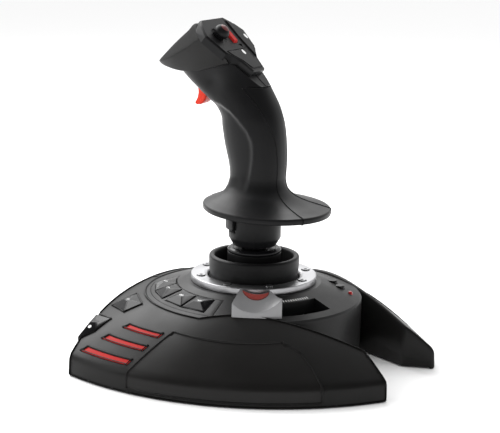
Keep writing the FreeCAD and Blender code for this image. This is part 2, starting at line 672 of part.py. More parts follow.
# Beak: wide hollow for the buttons, narrower below, open downward into the grip.
wide_hollow = plate_prism([(x * 0.80, 3.0 + q * 0.80) for x, q in PLATE_OUT], -1.0, 9.0)
deep_hollow = plate_prism([(x * 0.66, 4.0 + q * 0.76) for x, q in PLATE_OUT], 8.0, 15.0)
nose = beak_mass.cut(plate_room).cut(wide_hollow).cut(deep_hollow)
save("nose_shell", nose)

# Thumb plate with bevelled edge and openings for hat and buttons.
inner_out = [(x * 0.955, 0.6 + q * 0.975) for x, q in PLATE_OUT]
top_wire = Part.makePolygon([on_plate(x, q, 0.0) for x, q in inner_out + inner_out[:1]])
mid_wire = Part.makePolygon([on_plate(x, q, 1.1) for x, q in PLATE_OUT + PLATE_OUT[:1]])
bevel = Part.makeLoft([top_wire, mid_wire], True, True)
plate = bevel.fuse(plate_prism(PLATE_OUT, 1.1, PLATE_THICK))
HAT_X = -9.5
HAT_Q = 14.0
HAT_DEPTH = 0.4
RED_OUT = [(0.6, 11.6), (5.0, 11.6), (3.9, 22.0), (-0.7, 22.0)]
LEFT_OUT = [(-17.0, 27.6), (7.0, 27.6), (6.2, 44.8), (-5.6, 44.8), (-9.4, 37.0), (-14.4, 31.6)]
RIGHT_OUT = [
    (12.6, 2.6), (18.4, 6.0), (22.6, 12.8), (21.7, 16.2), (18.0, 28.4), (14.8, 31.2), (9.8, 36.2),
    (10.2, 18.0)]
hat_axis_top = on_plate(HAT_X, HAT_Q, -12.0)
hat_axis_low = on_plate(HAT_X, HAT_Q, 20.0)
plate = plate.cut(rod(6.2, on_plate(HAT_X, HAT_Q, -1.0), on_plate(HAT_X, HAT_Q, 1.4)))
plate = plate.cut(rod(4.4, hat_axis_top, hat_axis_low))
for outline in (RED_OUT, LEFT_OUT, RIGHT_OUT):
    plate = plate.cut(plate_prism(outline, -5.0, 20.0, 0.3))
groove = plate_prism([(11.6, 0.6), (12.2, 0.6), (10.0, 24.0), (9.3, 24.0)], -1.0, 0.7)
plate = plate.cut(groove)
plate = plate.cut(plate_prism([(2.4, 23.4), (6.8, 23.4), (5.4, 26.6)], -1.0, 1.0))
save("thumb_plate", plate)


def thumb_cap(outline, rise, inset):
    cx, cy = centre_of(outline)
    smaller = [(cx + (x - cx) * inset, cy + (q - cy) * inset) for x, q in outline]
    top = Part.makePolygon([on_plate(x, q, -rise) for x, q in smaller + smaller[:1]])
    low = Part.makePolygon([on_plate(x, q, 0.2) for x, q in outline + outline[:1]])
    cap = Part.makeLoft([top, low], True, True).fuse(plate_prism(outline, 0.2, 4.2))
    stem_x = 0.9 * cx
    return cap.fuse(rod(1.6, on_plate(stem_x, cy, 4.0), on_plate(stem_x, cy, 7.6)))


save("thumb_button_red", thumb_cap(RED_OUT, 1.4, 0.82))
save("thumb_button_left", thumb_cap(LEFT_OUT, 0.5, 0.93))
save("thumb_button_right", thumb_cap(RIGHT_OUT, 0.9, 0.92))

# Hat: mushroom head with a ball socket on a stalk.
hat_profile = [
    (0, 7.6), (2.6, 7.3), (4.4, 6.5), (5.0, 5.2), (5.0, 4.2), (4.2, 2.8), (3.3, 1.9), (3.1, 1.0),
    (3.1, -2.2), (1.7, -2.2), (1.2, -1.0), (0, -1.0)]
hat = face_of([V(r, 0, z) for r, z in hat_profile]).revolve(V(0, 0, 0), V(0, 0, 1), 360)
hat = hat.cut(Part.makeSphere(2.0, V(0, 0, -HAT_DEPTH)))
hat.Placement = FreeCAD.Placement(on_plate(HAT_X, HAT_Q), FreeCAD.Rotation(V(0, 0, 1), NORMAL))
save("hat_cap", hat)
hat_centre = on_plate(HAT_X, HAT_Q, HAT_DEPTH)
pivot_low = on_plate(HAT_X, HAT_Q, 8.0)
pivot = Part.makeSphere(1.95, hat_centre).fuse(rod(1.0, hat_centre, pivot_low))
pivot = pivot.fuse(rod(2.0, on_plate(HAT_X, HAT_Q, 6.6), pivot_low))
save("hat_pivot", pivot)
board_outline = [(x * 0.60, 6.5 + q * 0.66) for x, q in PLATE_OUT]
save("head_board", plate_prism(board_outline, 9.6, 11.2))

# Trigger blade on a cross pin.
trigger_profile = [
    (45.4, 181.8), (46.2, 177.0), (45.8, 173.0), (46.6, 169.4), (48.2, 166.0), (46.2, 164.9), (42.0, 165.6),
    (37.4, 168.0), (36.0, 172.0), (34.4, 176.0), (33.4, 180.0), (34.6, 183.2), (40.0, 184.0)]
trigger = face_of([V(-5.2, y, z) for y, z in trigger_profile]).extrude(V(10.4, 0, 0))
trigger = trigger.cut(rod(1.55, TRIGGER_PIN - V(20, 0, 0), TRIGGER_PIN + V(20, 0, 0)))
save("trigger", trigger)
save("trigger_pin", pin_solid)

# ------------------------------- throttle -----------------------------------

# Carrier: ring on the housing, arm out to the slot, post up to the lever, dust shield.
carrier = tube(35.5, 31.0, 33.2, 37.8)
carrier = carrier.fuse(sector(34.5, 63.0, 206.5, 215.0, 34.0, 37.6))
carrier = carrier.fuse(sector(56.0, 62.8, 206.5, 215.0, 34.0, 46.8))
carrier = carrier.fuse(sector(54.0, 67.0, 196.0, 222.0, 38.4, 39.8))
save("throttle_carrier", carrier)

# Thumb rest: a round scoop that falls outward and runs slightly across the lever.
lever_block = sector(LEVER_R0, LEVER_R1, THROTTLE_A0, THROTTLE_A1, 40.0, 58.0)
seat_cut = revolved([
    (80.0, 30.0), (80.0, turret_z(80.0, 0.0) + LEVER_GAP), (SEAT_R, SEAT_Z + LEVER_GAP),
    (30.0, SEAT_Z + LEVER_GAP), (30.0, 30.0)])
lever = lever_block.cut(seat_cut)
mid_a = 0.5 * (THROTTLE_A0 + THROTTLE_A1)
across = polar(1.0, mid_a + 90.0)
scoop_lift = SCOOP_R / math.cos(math.atan(SCOOP_RISE))


def scoop_axis(radius, offset):
    floor = SCOOP_Z + SCOOP_RISE * (LEVER_R1 - radius)
    return polar(radius, mid_a, floor + scoop_lift) + across * offset


scoop = rod(SCOOP_R, scoop_axis(80.0, -3.1), scoop_axis(30.0, 3.8))
scoop_inner = rod(SCOOP_R - 0.5, scoop_axis(80.0, -3.1), scoop_axis(30.0, 3.8))
lever = lever.cut(scoop).fuse(sector(56.2, 62.6, 207.0, 214.5, 47.0, 49.0))
save("throttle_lever", lever)
pad_spot = polar(43.0, mid_a)
pad_area = cyl(8.4, 40, 62, pad_spot.x, pad_spot.y).common(tube(60.0, 44.0, 40, 62))
save("throttle_pad", scoop.cut(scoop_inner).common(pad_area))
save("throttle_track", sector(44.0, 55.0, 192.0, 252.0, 31.1, 32.6))
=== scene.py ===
import json
import math

import bpy
import numpy as np
from mathutils import Matrix, Vector
from mathutils.geometry import delaunay_2d_cdt


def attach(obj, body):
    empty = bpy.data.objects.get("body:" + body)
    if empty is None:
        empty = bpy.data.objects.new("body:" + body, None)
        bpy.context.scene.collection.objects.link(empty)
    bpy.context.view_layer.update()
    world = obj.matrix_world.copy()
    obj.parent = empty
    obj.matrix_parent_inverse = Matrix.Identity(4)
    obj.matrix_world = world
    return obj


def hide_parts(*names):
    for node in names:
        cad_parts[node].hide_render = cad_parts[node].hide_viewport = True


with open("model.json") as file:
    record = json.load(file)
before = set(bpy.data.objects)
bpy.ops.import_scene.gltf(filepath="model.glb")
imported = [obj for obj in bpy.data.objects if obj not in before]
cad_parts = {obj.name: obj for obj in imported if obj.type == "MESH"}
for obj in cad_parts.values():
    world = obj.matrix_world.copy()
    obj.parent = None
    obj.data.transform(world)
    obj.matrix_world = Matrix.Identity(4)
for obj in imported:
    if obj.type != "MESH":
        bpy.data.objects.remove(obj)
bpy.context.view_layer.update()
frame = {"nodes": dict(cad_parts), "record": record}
NODES = frame["nodes"]
MM = 0.001


# ---- camera and light ----

AIM = Vector((0.0, 0.0, 0.1))
VIEW_AZIMUTH = math.radians(-61.34)
VIEW_ELEVATION = math.radians(12.55)
VIEW_ROLL = math.radians(1.36)
VIEW_DISTANCE = 1.0
VIEW_WIDTH = 0.329
VIEW_SHIFT = (-0.0106, -0.0146)
SENSOR = 36.0
GLOW_TOWARD = (0.80, 0.44, 0.40)
GLOW_RANGE = {"From Min": -0.15, "From Max": 0.85, "To Min": 0.03, "To Max": 1.0}
# Each softbox: name, place, aim height, width, height, watts.
SOFTBOXES = [
    ("key", (0.10, 0.95, 0.95), 0.06, 0.9, 0.9, 12.0),
    ("left", (-0.85, 0.95, 0.55), 0.14, 0.3, 0.9, 3.2),
    ("back", (0.78, 0.62, 1.0), 0.06, 1.0, 1.0, 9.0),
]


def make_camera():
    back = Vector((math.sin(VIEW_AZIMUTH) * math.cos(VIEW_ELEVATION),
                   -math.cos(VIEW_AZIMUTH) * math.cos(VIEW_ELEVATION),
                   math.sin(VIEW_ELEVATION)))
    right = Vector((math.cos(VIEW_AZIMUTH), math.sin(VIEW_AZIMUTH), 0.0))
    up = back.cross(right)
    rolled_right = right * math.cos(VIEW_ROLL) + up * math.sin(VIEW_ROLL)
    rolled_up = up * math.cos(VIEW_ROLL) - right * math.sin(VIEW_ROLL)
    data = bpy.data.cameras.new("camera")
    data.sensor_width = SENSOR
    data.lens = SENSOR * VIEW_DISTANCE / VIEW_WIDTH
    data.shift_x, data.shift_y = VIEW_SHIFT
    data.clip_start = 0.05
    camera = bpy.data.objects.new("camera", data)
    basis = Matrix((rolled_right, rolled_up, back)).transposed().to_4x4()
    camera.matrix_world = Matrix.Translation(AIM + back * VIEW_DISTANCE) @ basis
    bpy.context.scene.collection.objects.link(camera)
    bpy.context.scene.camera = camera


def softbox(name, place, aim_height, width, height, watts):
    data = bpy.data.lights.new(name, "AREA")
    data.energy = watts
    data.shape = "RECTANGLE"
    data.size = width
    data.size_y = height
    light = bpy.data.objects.new(name, data)
    direction = Vector((0, 0, aim_height)) - Vector(place)
    turn = direction.to_track_quat("-Z", "Y").to_matrix().to_4x4()
    light.matrix_world = Matrix.Translation(place) @ turn
    bpy.context.scene.collection.objects.link(light)


def add_node(tree, kind, inputs, **settings):
    """A shader node with its settings made and its inputs filled in or linked."""
    node = tree.nodes.new("ShaderNode" + kind)
    for key, value in settings.items():
        setattr(node, key, value)
    for key, value in inputs.items():
        if isinstance(value, bpy.types.NodeSocket):
            tree.links.new(value, node.inputs[key])
        else:
            node.inputs[key].default_value = value
    return node


def make_studio():
    """White all round for the floor; in reflections bright behind the object and dim in front."""
    world = bpy.data.worlds.new("studio")
    bpy.context.scene.world = world
    world.use_nodes = True
    tree = world.node_tree
    direction = add_node(tree, "TexCoord", {}).outputs["Generated"]
    facing = add_node(tree, "VectorMath", {0: direction, 1: GLOW_TOWARD}, operation="DOT_PRODUCT")
    glow = add_node(tree, "MapRange", {"Value": facing.outputs["Value"], **GLOW_RANGE},
                    interpolation_type="SMOOTHSTEP")
    glossy = add_node(tree, "LightPath", {}).outputs["Is Glossy Ray"]
    strength = add_node(tree, "Mix", {"Factor": glossy, "A": 1.0, "B": glow.outputs["Result"]})
    background = tree.nodes["Background"]
    background.inputs["Color"].default_value = (1, 1, 1, 1)
    tree.links.new(strength.outputs["Result"], background.inputs["Strength"])
    for lamp in SOFTBOXES:
        softbox(*lamp)
    bpy.context.scene.view_settings.view_transform = "Standard"


# ---- materials ----

CLOUD_SCALE = 38.0
BUMP_STRENGTH = 0.45
WORN_FROM = 0.52
WORN_TO = 0.62
WORN_LIFT = 0.02
ROUGH_SPREAD = 0.06
COAT_ROUGH = 0.08


def noise(tree, coords, scale, detail):
    return add_node(tree, "TexNoise", {"Vector": coords, "Scale": scale, "Detail": detail}).outputs["Fac"]


def ramp(tree, source, low, high, start=0.3, end=0.7):
    return add_node(tree, "MapRange", {
        "Value": source, "From Min": start, "From Max": end, "To Min": low, "To Max": high}).outputs["Result"]


def blend(tree, share, low, high):
    return add_node(tree, "Mix", {"Factor": share, "A": low, "B": high}, data_type="RGBA").outputs["Result"]


def surface(name, color, rough, grain=2600.0, depth=0.00003, wear=0.25, metal=0.0, coat=0.0,
            specular=0.5, light=1.25, mottle=0.15):
    """One procedural finish: mottled colour, uneven roughness, fine grain relief and lighter worn edges."""
    material = bpy.data.materials.new(name)
    material.use_nodes = True
    tree = material.node_tree
    tree.nodes.clear()

    def shade(factor, extra=0.0):
        return (*[min(1.0, c * factor + extra) for c in color], 1)

    coords = add_node(tree, "TexCoord", {}).outputs["Object"]
    cloud = noise(tree, coords, CLOUD_SCALE, 4.0)
    edges = add_node(tree, "NewGeometry", {}).outputs["Pointiness"]
    worn = ramp(tree, edges, 0.0, wear, WORN_FROM, WORN_TO)
    mottled = blend(tree, cloud, shade(1 - mottle), shade(1 + mottle))
    bump = add_node(tree, "Bump", {
        "Strength": BUMP_STRENGTH, "Distance": depth, "Height": noise(tree, coords, grain, 3.0)})
    shader = add_node(tree, "BsdfPrincipled", {
        "Base Color": blend(tree, worn, mottled, shade(light, WORN_LIFT)),
        "Roughness": ramp(tree, cloud, rough - ROUGH_SPREAD, rough + ROUGH_SPREAD),
        "Normal": bump.outputs["Normal"], "Metallic": metal, "Coat Weight": coat,
        "Coat Roughness": COAT_ROUGH, "Specular IOR Level": specular})
    add_node(tree, "OutputMaterial", {"Surface": shader.outputs[0]})
    return material


# Each finish: base colour, roughness and what differs from a plain moulding.
FINISHES = {
    "shell_plastic": ((0.0065, 0.0062, 0.0060), 0.39, dict(specular=0.19)),
    "turret_plastic": ((0.0075, 0.0073, 0.0075), 0.41, dict(specular=0.22)),
    "panel_plastic": ((0.0078, 0.0073, 0.0070), 0.36, dict(specular=0.22)),
    "grip_plastic": ((0.0062, 0.0062, 0.0067), 0.41, dict(specular=0.20)),
    "button_gloss": ((0.0045, 0.0045, 0.005), 0.2, dict(depth=0.000004, specular=0.2)),
    "accent_red": ((0.40, 0.014, 0.012), 0.42, dict(depth=0.00001, specular=0.1, light=1.2)),
    "trigger_red": ((0.72, 0.035, 0.012), 0.3, dict(depth=0.00001, specular=0.25)),
    "silver_metal": ((0.42, 0.42, 0.43), 0.33, dict(metal=1.0, depth=0.000008)),
    "lever_silver": ((0.25, 0.25, 0.255), 0.34, dict(metal=0.35, depth=0.00001)),
    "cup_rubber": ((0.0045, 0.0045, 0.0048), 0.46, dict(grain=1800.0, specular=0.2)),
    "foot_rubber": ((0.012, 0.012, 0.012), 0.7, dict()),
    "steel": ((0.42, 0.42, 0.43), 0.3, dict(metal=1.0, depth=0.00001)),
    "ballast_iron": ((0.15, 0.15, 0.15), 0.6, dict(metal=0.9, depth=0.0001)),
    "frame_plastic": ((0.006, 0.006, 0.006), 0.55, dict(specular=0.2)),
    "board": ((0.004, 0.016, 0.007), 0.4, dict(specular=0.2)),
    "lens": ((0.3, 0.008, 0.008), 0.12, dict(coat=0.6)),
}
MATERIALS = {name: surface(name, color, rough, **rest) for name, (color, rough, rest) in FINISHES.items()}
PRINT_WHITE = surface("print_white", (0.80, 0.80, 0.80), 0.45, wear=0.0, depth=0.000004)
DOT_RED = surface("dot_red", (0.13, 0.014, 0.010), 0.5, depth=0.000008)
DOT_LIGHT = surface("dot_light", (0.32, 0.035, 0.025), 0.45, depth=0.000004)
HAT_TINT = surface("hat_tint", (0.10, 0.012, 0.012), 0.38, depth=0.000008)


# ---- mesh building tools ----
# Shapes below are worked out in millimetres and written to meshes in metres.

def paint(obj, material):
    obj.data.materials.clear()
    obj.data.materials.append(material)


def new_piece(name, verts, faces, slot, body, replaces=(), smooth_angle=40.0):
    mesh = bpy.data.meshes.new(name)
    mesh.from_pydata([tuple(np.asarray(v) * MM) for v in verts], [], faces)
    mesh.validate()
    mesh.update()
    obj = bpy.data.objects.new(name, mesh)
    bpy.context.scene.collection.objects.link(obj)
    paint(obj, MATERIALS[slot])
    mesh.polygons.foreach_set("use_smooth", [True] * len(mesh.polygons))
    mesh.set_sharp_from_angle(angle=math.radians(smooth_angle))
    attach(obj, body)
    if replaces:
        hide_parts(*replaces)
    return obj


def thicken(obj, millimetres):
    solid = obj.modifiers.new("wall", "SOLIDIFY")
    solid.thickness = millimetres * MM
    solid.offset = -1.0


def weld(obj, millimetres):
    obj.modifiers.new("weld", "WELD").merge_threshold = millimetres * MM


def unit(vectors):
    return vectors / np.maximum(np.linalg.norm(vectors, axis=-1, keepdims=True), 1e-9)


def polar(radius, degrees):
    turn = math.radians(degrees)
    return np.array([radius * math.cos(turn), radius * math.sin(turn)])


def grid_normals(points, flip=False):
    du = np.gradient(points, axis=0)
    dv = np.gradient(points, axis=1)
    normal = unit(np.cross(du, dv))
    return -normal if flip else normal


def roll_edge(points, depth, low, high, radius, wall, steps=4):
    """Adds rounded border lines along the first axis of a grid, on the low and high sides."""
    turns = [0.5 * math.pi * k / steps for k in range(steps + 1)]
    lines = [(0.0, wall)] + [(radius * (1 - math.cos(t)), radius * (1 - math.sin(t))) for t in turns]
    for side, wanted in ((0, low), (-1, high)):
        if not wanted:
            continue
        edge = points[side]
        inner = points[1 if side == 0 else -2]
        inward = unit(inner - edge)
        extra = np.stack([edge + inward * d for d, _ in lines])
        deep = np.stack([np.maximum(depth[side], e) for _, e in lines])
        if side == 0:
            points = np.concatenate([extra, points[1:]])
            depth = np.concatenate([deep, depth[1:]])
        else:
            points = np.concatenate([points[:-1], extra[::-1]])
            depth = np.concatenate([depth[:-1], deep[::-1]])
    return points, depth


def grid_faces(rows, columns, flip=False, closed=False):
    faces = []
    for i in range(rows - 1):
        for j in range(columns if closed else columns - 1):
            k = (j + 1) % columns
            quad = (i * columns + j, (i + 1) * columns + j, (i + 1) * columns + k, i * columns + k)
            faces.append(quad[::-1] if flip else quad)
    return faces


GRIP_EDGE = 0.35
GRIP_WALL = 1.6


def grip_skin(name, points, sides, flip=False):
    """A curved grid of the grip, with rounded borders turned down to the wall depth on the chosen sides."""
    depth = np.zeros(points.shape[:2])
    points, depth = roll_edge(points, depth, sides[0], sides[1], GRIP_EDGE, GRIP_WALL)
    turned, deep = roll_edge(points.transpose(1, 0, 2), depth.T, sides[2], sides[3], GRIP_EDGE, GRIP_WALL)
    points, depth = turned.transpose(1, 0, 2), deep.T
    placed = points - grid_normals(points, flip) * depth[..., None]
    faces = grid_faces(*depth.shape, flip=flip)
    new_piece(name + "_skin", placed.reshape(-1, 3), faces, "grip_plastic", "grip", [name], 50)


def corner_curve(start, corner, end, steps):
    shares = [k / steps for k in range(steps + 1)]
    return [(1 - t) ** 2 * start + 2 * t * (1 - t) * corner + t ** 2 * end for t in shares]


def rounded_profile(corners, steps=5):
    """Closed profile of (r, z, fillet radius) corners, with each corner turned into a curve."""
    points = []
    count = len(corners)
    for i, (r, z, fillet) in enumerate(corners):
        here = np.array([r, z])
        before = np.array(corners[i - 1][:2]) - here
        after = np.array(corners[(i + 1) % count][:2]) - here
        if fillet <= 0:
            points.append(here)
            continue
        a = before / np.linalg.norm(before)
        b = after / np.linalg.norm(after)
        half = 0.5 * math.acos(max(-1.0, min(1.0, float(a @ b))))
        reach = fillet / math.tan(half)
        reach = min(reach, 0.48 * np.linalg.norm(before), 0.48 * np.linalg.norm(after))
        points += corner_curve(here + a * reach, here, here + b * reach, steps)
    return np.array(points)


def lathe(name, corners, slot, body, replaces=(), segments=144, place=lambda x, y, z: (x, y, z)):
    """Solid turned from (r, z, fillet radius) corners, upright on the axis unless placed elsewhere."""
    profile = rounded_profile(corners)
    turns = np.linspace(0, 2 * math.pi, segments, endpoint=False)
    verts = [place(r * math.cos(t), r * math.sin(t), z) for r, z in profile for t in turns]
    faces = grid_faces(len(profile), segments, closed=True)
    last = (len(profile) - 1) * segments
    faces += [(last + j, j, (j + 1) % segments, last + (j + 1) % segments) for j in range(segments)]
    return new_piece(name, verts, faces, slot, body, replaces)


def stacked_rings(rings):
    """Closed solid from rings of equal length, first and last closed by a face."""
    count = len(rings[0])
    verts = [p for ring in rings for p in ring]
    faces = [tuple(range(count))[::-1]]
    for i in range(len(rings) - 1):
        for j in range(count):
            k = (j + 1) % count
            faces.append((i * count + j, i * count + k, (i + 1) * count + k, (i + 1) * count + j))
    last = (len(rings) - 1) * count
    faces.append(tuple(range(last, last + count)))
    return verts, faces


def joined(meshes):
    """Several meshes of points and faces as one."""
    verts, faces = [], []
    for points, around in meshes:
        faces += [tuple(i + len(verts) for i in f) for f in around]
        verts += list(points)
    return verts, faces


def mirror_x(verts, faces):
    """The other side: the same points with X turned round, and the faces' order too."""
    return [(-x, y, z) for x, y, z in verts], [tuple(reversed(f)) for f in faces]


def both_sides(verts, faces):
    return joined([(verts, faces), mirror_x(verts, faces)])


def smoothstep(low, high, value):
    t = np.clip((value - low) / (high - low), 0, 1)
    return t * t * (3 - 2 * t)


def spline(knots, values, at):
    """Smooth curve through the knots, by cubic Hermite spans with averaged slopes."""
    knots, values = np.asarray(knots, float), np.asarray(values, float)
    slope = np.gradient(values, knots)
    at = np.clip(at, knots[0], knots[-1])
    i = np.clip(np.searchsorted(knots, at, side="right") - 1, 0, len(knots) - 2)
    step = knots[i + 1] - knots[i]
    t = (at - knots[i]) / step
    return ((1 + 2 * t) * (1 - t) ** 2 * values[i] + t * (1 - t) ** 2 * step * slope[i]
            + t * t * (3 - 2 * t) * values[i + 1] + t * t * (t - 1) * step * slope[i + 1])


# ---- base surface ----

ARC_X = 55.0
ARC_Y = 22.0
RIM_R = 165.3
SKIRT_Z = 13.0
CREST_Z = 43.5
DOME_BULGE = 2.0
TURRET_R = 72.0
FRONT_Y = 79.5
FRONT_SWEEP = 3.0
FLOOR_GAP = 1.2
RIM_ROUND = 3.0
SKIRT_LEAN = 0.05


def front_y(x):
    return FRONT_Y - FRONT_SWEEP * (x / 100.0) ** 2


def dome_z(x, y):
    """Height of the left wing's dome: circles shrinking from the skirt to the turret."""
    spread = RIM_R - TURRET_R
    a = ARC_X ** 2 + ARC_Y ** 2 - spread ** 2
    b = -2 * (x * ARC_X + y * ARC_Y) - 2 * TURRET_R * spread
    c = x * x + y * y - TURRET_R ** 2
    root = np.sqrt(np.maximum(b * b - 4 * a * c, 0))
    one, two = (-b - root) / (2 * a), (-b + root) / (2 * a)
    t = np.where(np.abs(one - 0.5) < np.abs(two - 0.5), one, two)
    return CREST_Z - (CREST_Z - SKIRT_Z) * t + 4 * DOME_BULGE * t * (1 - t)


def raw_lift(x, y):
    """Folds the flat plan over the rim: inside it the dome, beyond it the upright skirt."""
    dx, dy = x - ARC_X, y - ARC_Y
    reach = np.hypot(dx, dy)
    inside = np.minimum(reach, RIM_R)
    fall = np.maximum(reach - RIM_R, 0)
    px = ARC_X + dx / reach * (inside + SKIRT_LEAN * fall)
    py = ARC_Y + dy / reach * (inside + SKIRT_LEAN * fall)
    z = dome_z(ARC_X + dx / reach * inside, ARC_Y + dy / reach * inside) - fall
    return np.stack([px, py, z], axis=-1)


def lift(plan, depth=0.0):
    """Plan points to the wing's surface, with the rim rounded by averaging along each ray."""
    plan = np.asarray(plan, float)
    delta = plan - np.array([ARC_X, ARC_Y])
    ray = unit(delta)
    total = 0
    weights = (1, 3, 4, 3, 1)
    for step, weight in zip((-2, -1, 0, 1, 2), weights):
        moved = plan + ray * (0.5 * RIM_ROUND * step)
        total = total + weight * raw_lift(moved[..., 0], moved[..., 1])
    near = smoothstep(0.0, RIM_ROUND, np.abs(np.linalg.norm(delta, axis=-1) - RIM_R))[..., None]
    exact = raw_lift(plan[..., 0], plan[..., 1])
    points = exact * near + total / sum(weights) * (1 - near)
    if np.ndim(depth) or depth:
        points = points - wing_normal(plan) * np.asarray(depth)[..., None]
    return points


def wing_normal(plan):
    plan = np.asarray(plan, float)
    step = 0.4
    east = lift(plan + np.array([step, 0.0])) - lift(plan - np.array([step, 0.0]))
    north = lift(plan + np.array([0.0, step])) - lift(plan - np.array([0.0, step]))
    return unit(np.cross(east, north))


def on_rim(radius, degrees):
    return tuple(np.array([ARC_X, ARC_Y]) + polar(radius, degrees))


def resample(points, spacing):
    """Points along a closed outline, none further apart than the spacing; corners stay."""
    out = []
    for a, b in zip(points, points[1:] + points[:1]):
        a, b = np.array(a, float), np.array(b, float)
        count = max(1, int(math.ceil(np.linalg.norm(b - a) / spacing)))
        out += [a + (b - a) * k / count for k in range(count)]
    return np.array(out)


def signed_area(points):
    x, y = points[:, 0], points[:, 1]
    return 0.5 * float(np.sum(x * np.roll(y, -1) - np.roll(x, -1) * y))


def inset_loop(points, distance):
    """Each point of a counterclockwise loop moved inward along its corner's bisector."""
    before = unit(points - np.roll(points, 1, axis=0))
    after = unit(np.roll(points, -1, axis=0) - points)
    left_a = np.stack([-before[:, 1], before[:, 0]], axis=1)
    left_b = np.stack([-after[:, 1], after[:, 0]], axis=1)
    middle = unit(left_a + left_b)
    scale = np.clip(1.0 / np.maximum(np.sum(middle * left_a, axis=1), 0.4), 1.0, 2.0)
    return points + middle * (distance * scale)[:, None]


def inside_loop(points, loop):
    x, y = points[:, 0][:, None], points[:, 1][:, None]
    ax, ay = loop[:, 0], loop[:, 1]
    bx, by = np.roll(ax, -1), np.roll(ay, -1)
    crosses = (ay > y) != (by > y)
    at = (bx - ax) * (y - ay) / np.where(by == ay, 1e-9, by - ay) + ax
    return (np.sum(crosses & (x < at), axis=1) % 2) == 1


def loop_distance(points, loop):
    a, b = loop, np.roll(loop, -1, axis=0)
    span = b - a
    rel = points[:, None, :] - a[None]
    t = np.clip(np.sum(rel * span, axis=2) / np.maximum(np.sum(span * span, axis=1), 1e-9), 0, 1)
    return np.min(np.linalg.norm(rel - span * t[..., None], axis=2), axis=1)


class Skin:
    """A sheet over the wing: an outline, holes in it, rounded borders and turned-down walls."""

    def __init__(self, depth=0.0):
        self.depth = depth
        self.verts = []
        self.faces = []
        self.rings = []

    def add(self, points):
        start = len(self.verts)
        self.verts += [tuple(p) for p in points]
        return np.arange(start, start + len(points))

    def bridge(self, upper, lower):
        count = len(upper)
        for i in range(count):
            j = (i + 1) % count
            self.faces.append((upper[i], upper[j], lower[j], lower[i]))

    def border(self, loop, radius, wall, steps=4):
        """Rings from the flat of the sheet over the rounded border; wall gives the lowest ring."""
        previous = None
        for k in range(steps + 1):
            turn = 0.5 * math.pi * k / steps
            plan = inset_loop(loop, radius * (1 - math.sin(turn)))
            ring = self.add(lift(plan, np.full(len(plan), self.depth + radius * (1 - math.cos(turn)))))
            if previous is None:
                self.rings.append((plan, ring))
            else:
                self.bridge(previous, ring)
            previous = ring
        self.bridge(previous, self.add(wall(np.array([self.verts[i] for i in previous]), loop)))

    def covers(self, points, margin=None):
        """Which points lie on the sheet: inside its outline, outside its holes and a margin off both."""
        keep = np.ones(len(points), bool)
        for i, (loop, _) in enumerate(self.rings):
            keep &= inside_loop(points, loop) == (i == 0)
            if margin:
                keep &= loop_distance(points, loop) > margin
        return keep

    def fill(self, spacing):
        """Points along circles round the rim's centre, closer together at the rim, and triangles over all."""
        outer = self.rings[0][0]
        low, high = outer.min(axis=0), outer.max(axis=0)
        reach = np.hypot(outer[:, 0] - ARC_X, outer[:, 1] - ARC_Y)
        radii = list(np.arange(reach.min(), RIM_R - 4, spacing))
        radii += list(np.arange(RIM_R - 4, min(reach.max(), RIM_R + 4), 1.0))
        radii += list(np.arange(RIM_R + 4, reach.max(), spacing))
        candidates = np.array([on_rim(radius, degrees) for radius in radii
                               for degrees in np.arange(70, 290, math.degrees(spacing / radius))])
        candidates = candidates[np.all((candidates > low) & (candidates < high), axis=1)]
        candidates = candidates[self.covers(candidates, 0.45 * spacing)]
        middle = self.add(lift(candidates, np.full(len(candidates), self.depth)))
        index = np.concatenate([ring for _, ring in self.rings] + [middle])
        edges = []
        start = 0
        for plan, _ in self.rings:
            count = len(plan)
            edges += [(start + i, start + (i + 1) % count) for i in range(count)]
            start += count
        flat = np.concatenate([plan for plan, _ in self.rings] + [candidates])
        result = delaunay_2d_cdt([Vector(p) for p in flat], edges, [], 0, 1e-5)
        places = np.array([tuple(v) for v in result[0]])
        origin = [ids[0] if ids else -1 for ids in result[3]]
        triangles = [f for f in result[2] if all(origin[i] >= 0 for i in f)]
        middles = np.array([places[list(f)].mean(axis=0) for f in triangles])
        for face, wanted in zip(triangles, self.covers(middles)):
            if wanted:
                self.faces.append(tuple(int(index[origin[i]]) for i in face))


def drop_inward(amount):
    def wall(points, loop):
        return points - wing_normal(loop) * amount
    return wall


SKIN_SPACING = 3.0
SKIN_STEP = 2.0


def skin_mesh(outline, holes=(), depth=0.0, radius=0.5, wall=1.6, outer_wall=None):
    """Points and faces of one sheet over the wing, walled round its outline and its holes."""
    skin = Skin(depth)
    loop = resample(list(outline), SKIN_STEP)
    if signed_area(loop) < 0:
        loop = loop[::-1]
    skin.border(loop, radius, outer_wall or drop_inward(wall))
    for hole in holes:
        ring = resample(list(hole), SKIN_STEP)
        if signed_area(ring) > 0:
            ring = ring[::-1]
        skin.border(ring, radius, drop_inward(wall))
    skin.fill(SKIN_SPACING)
    return skin.verts, skin.faces


# ---- base pieces ----

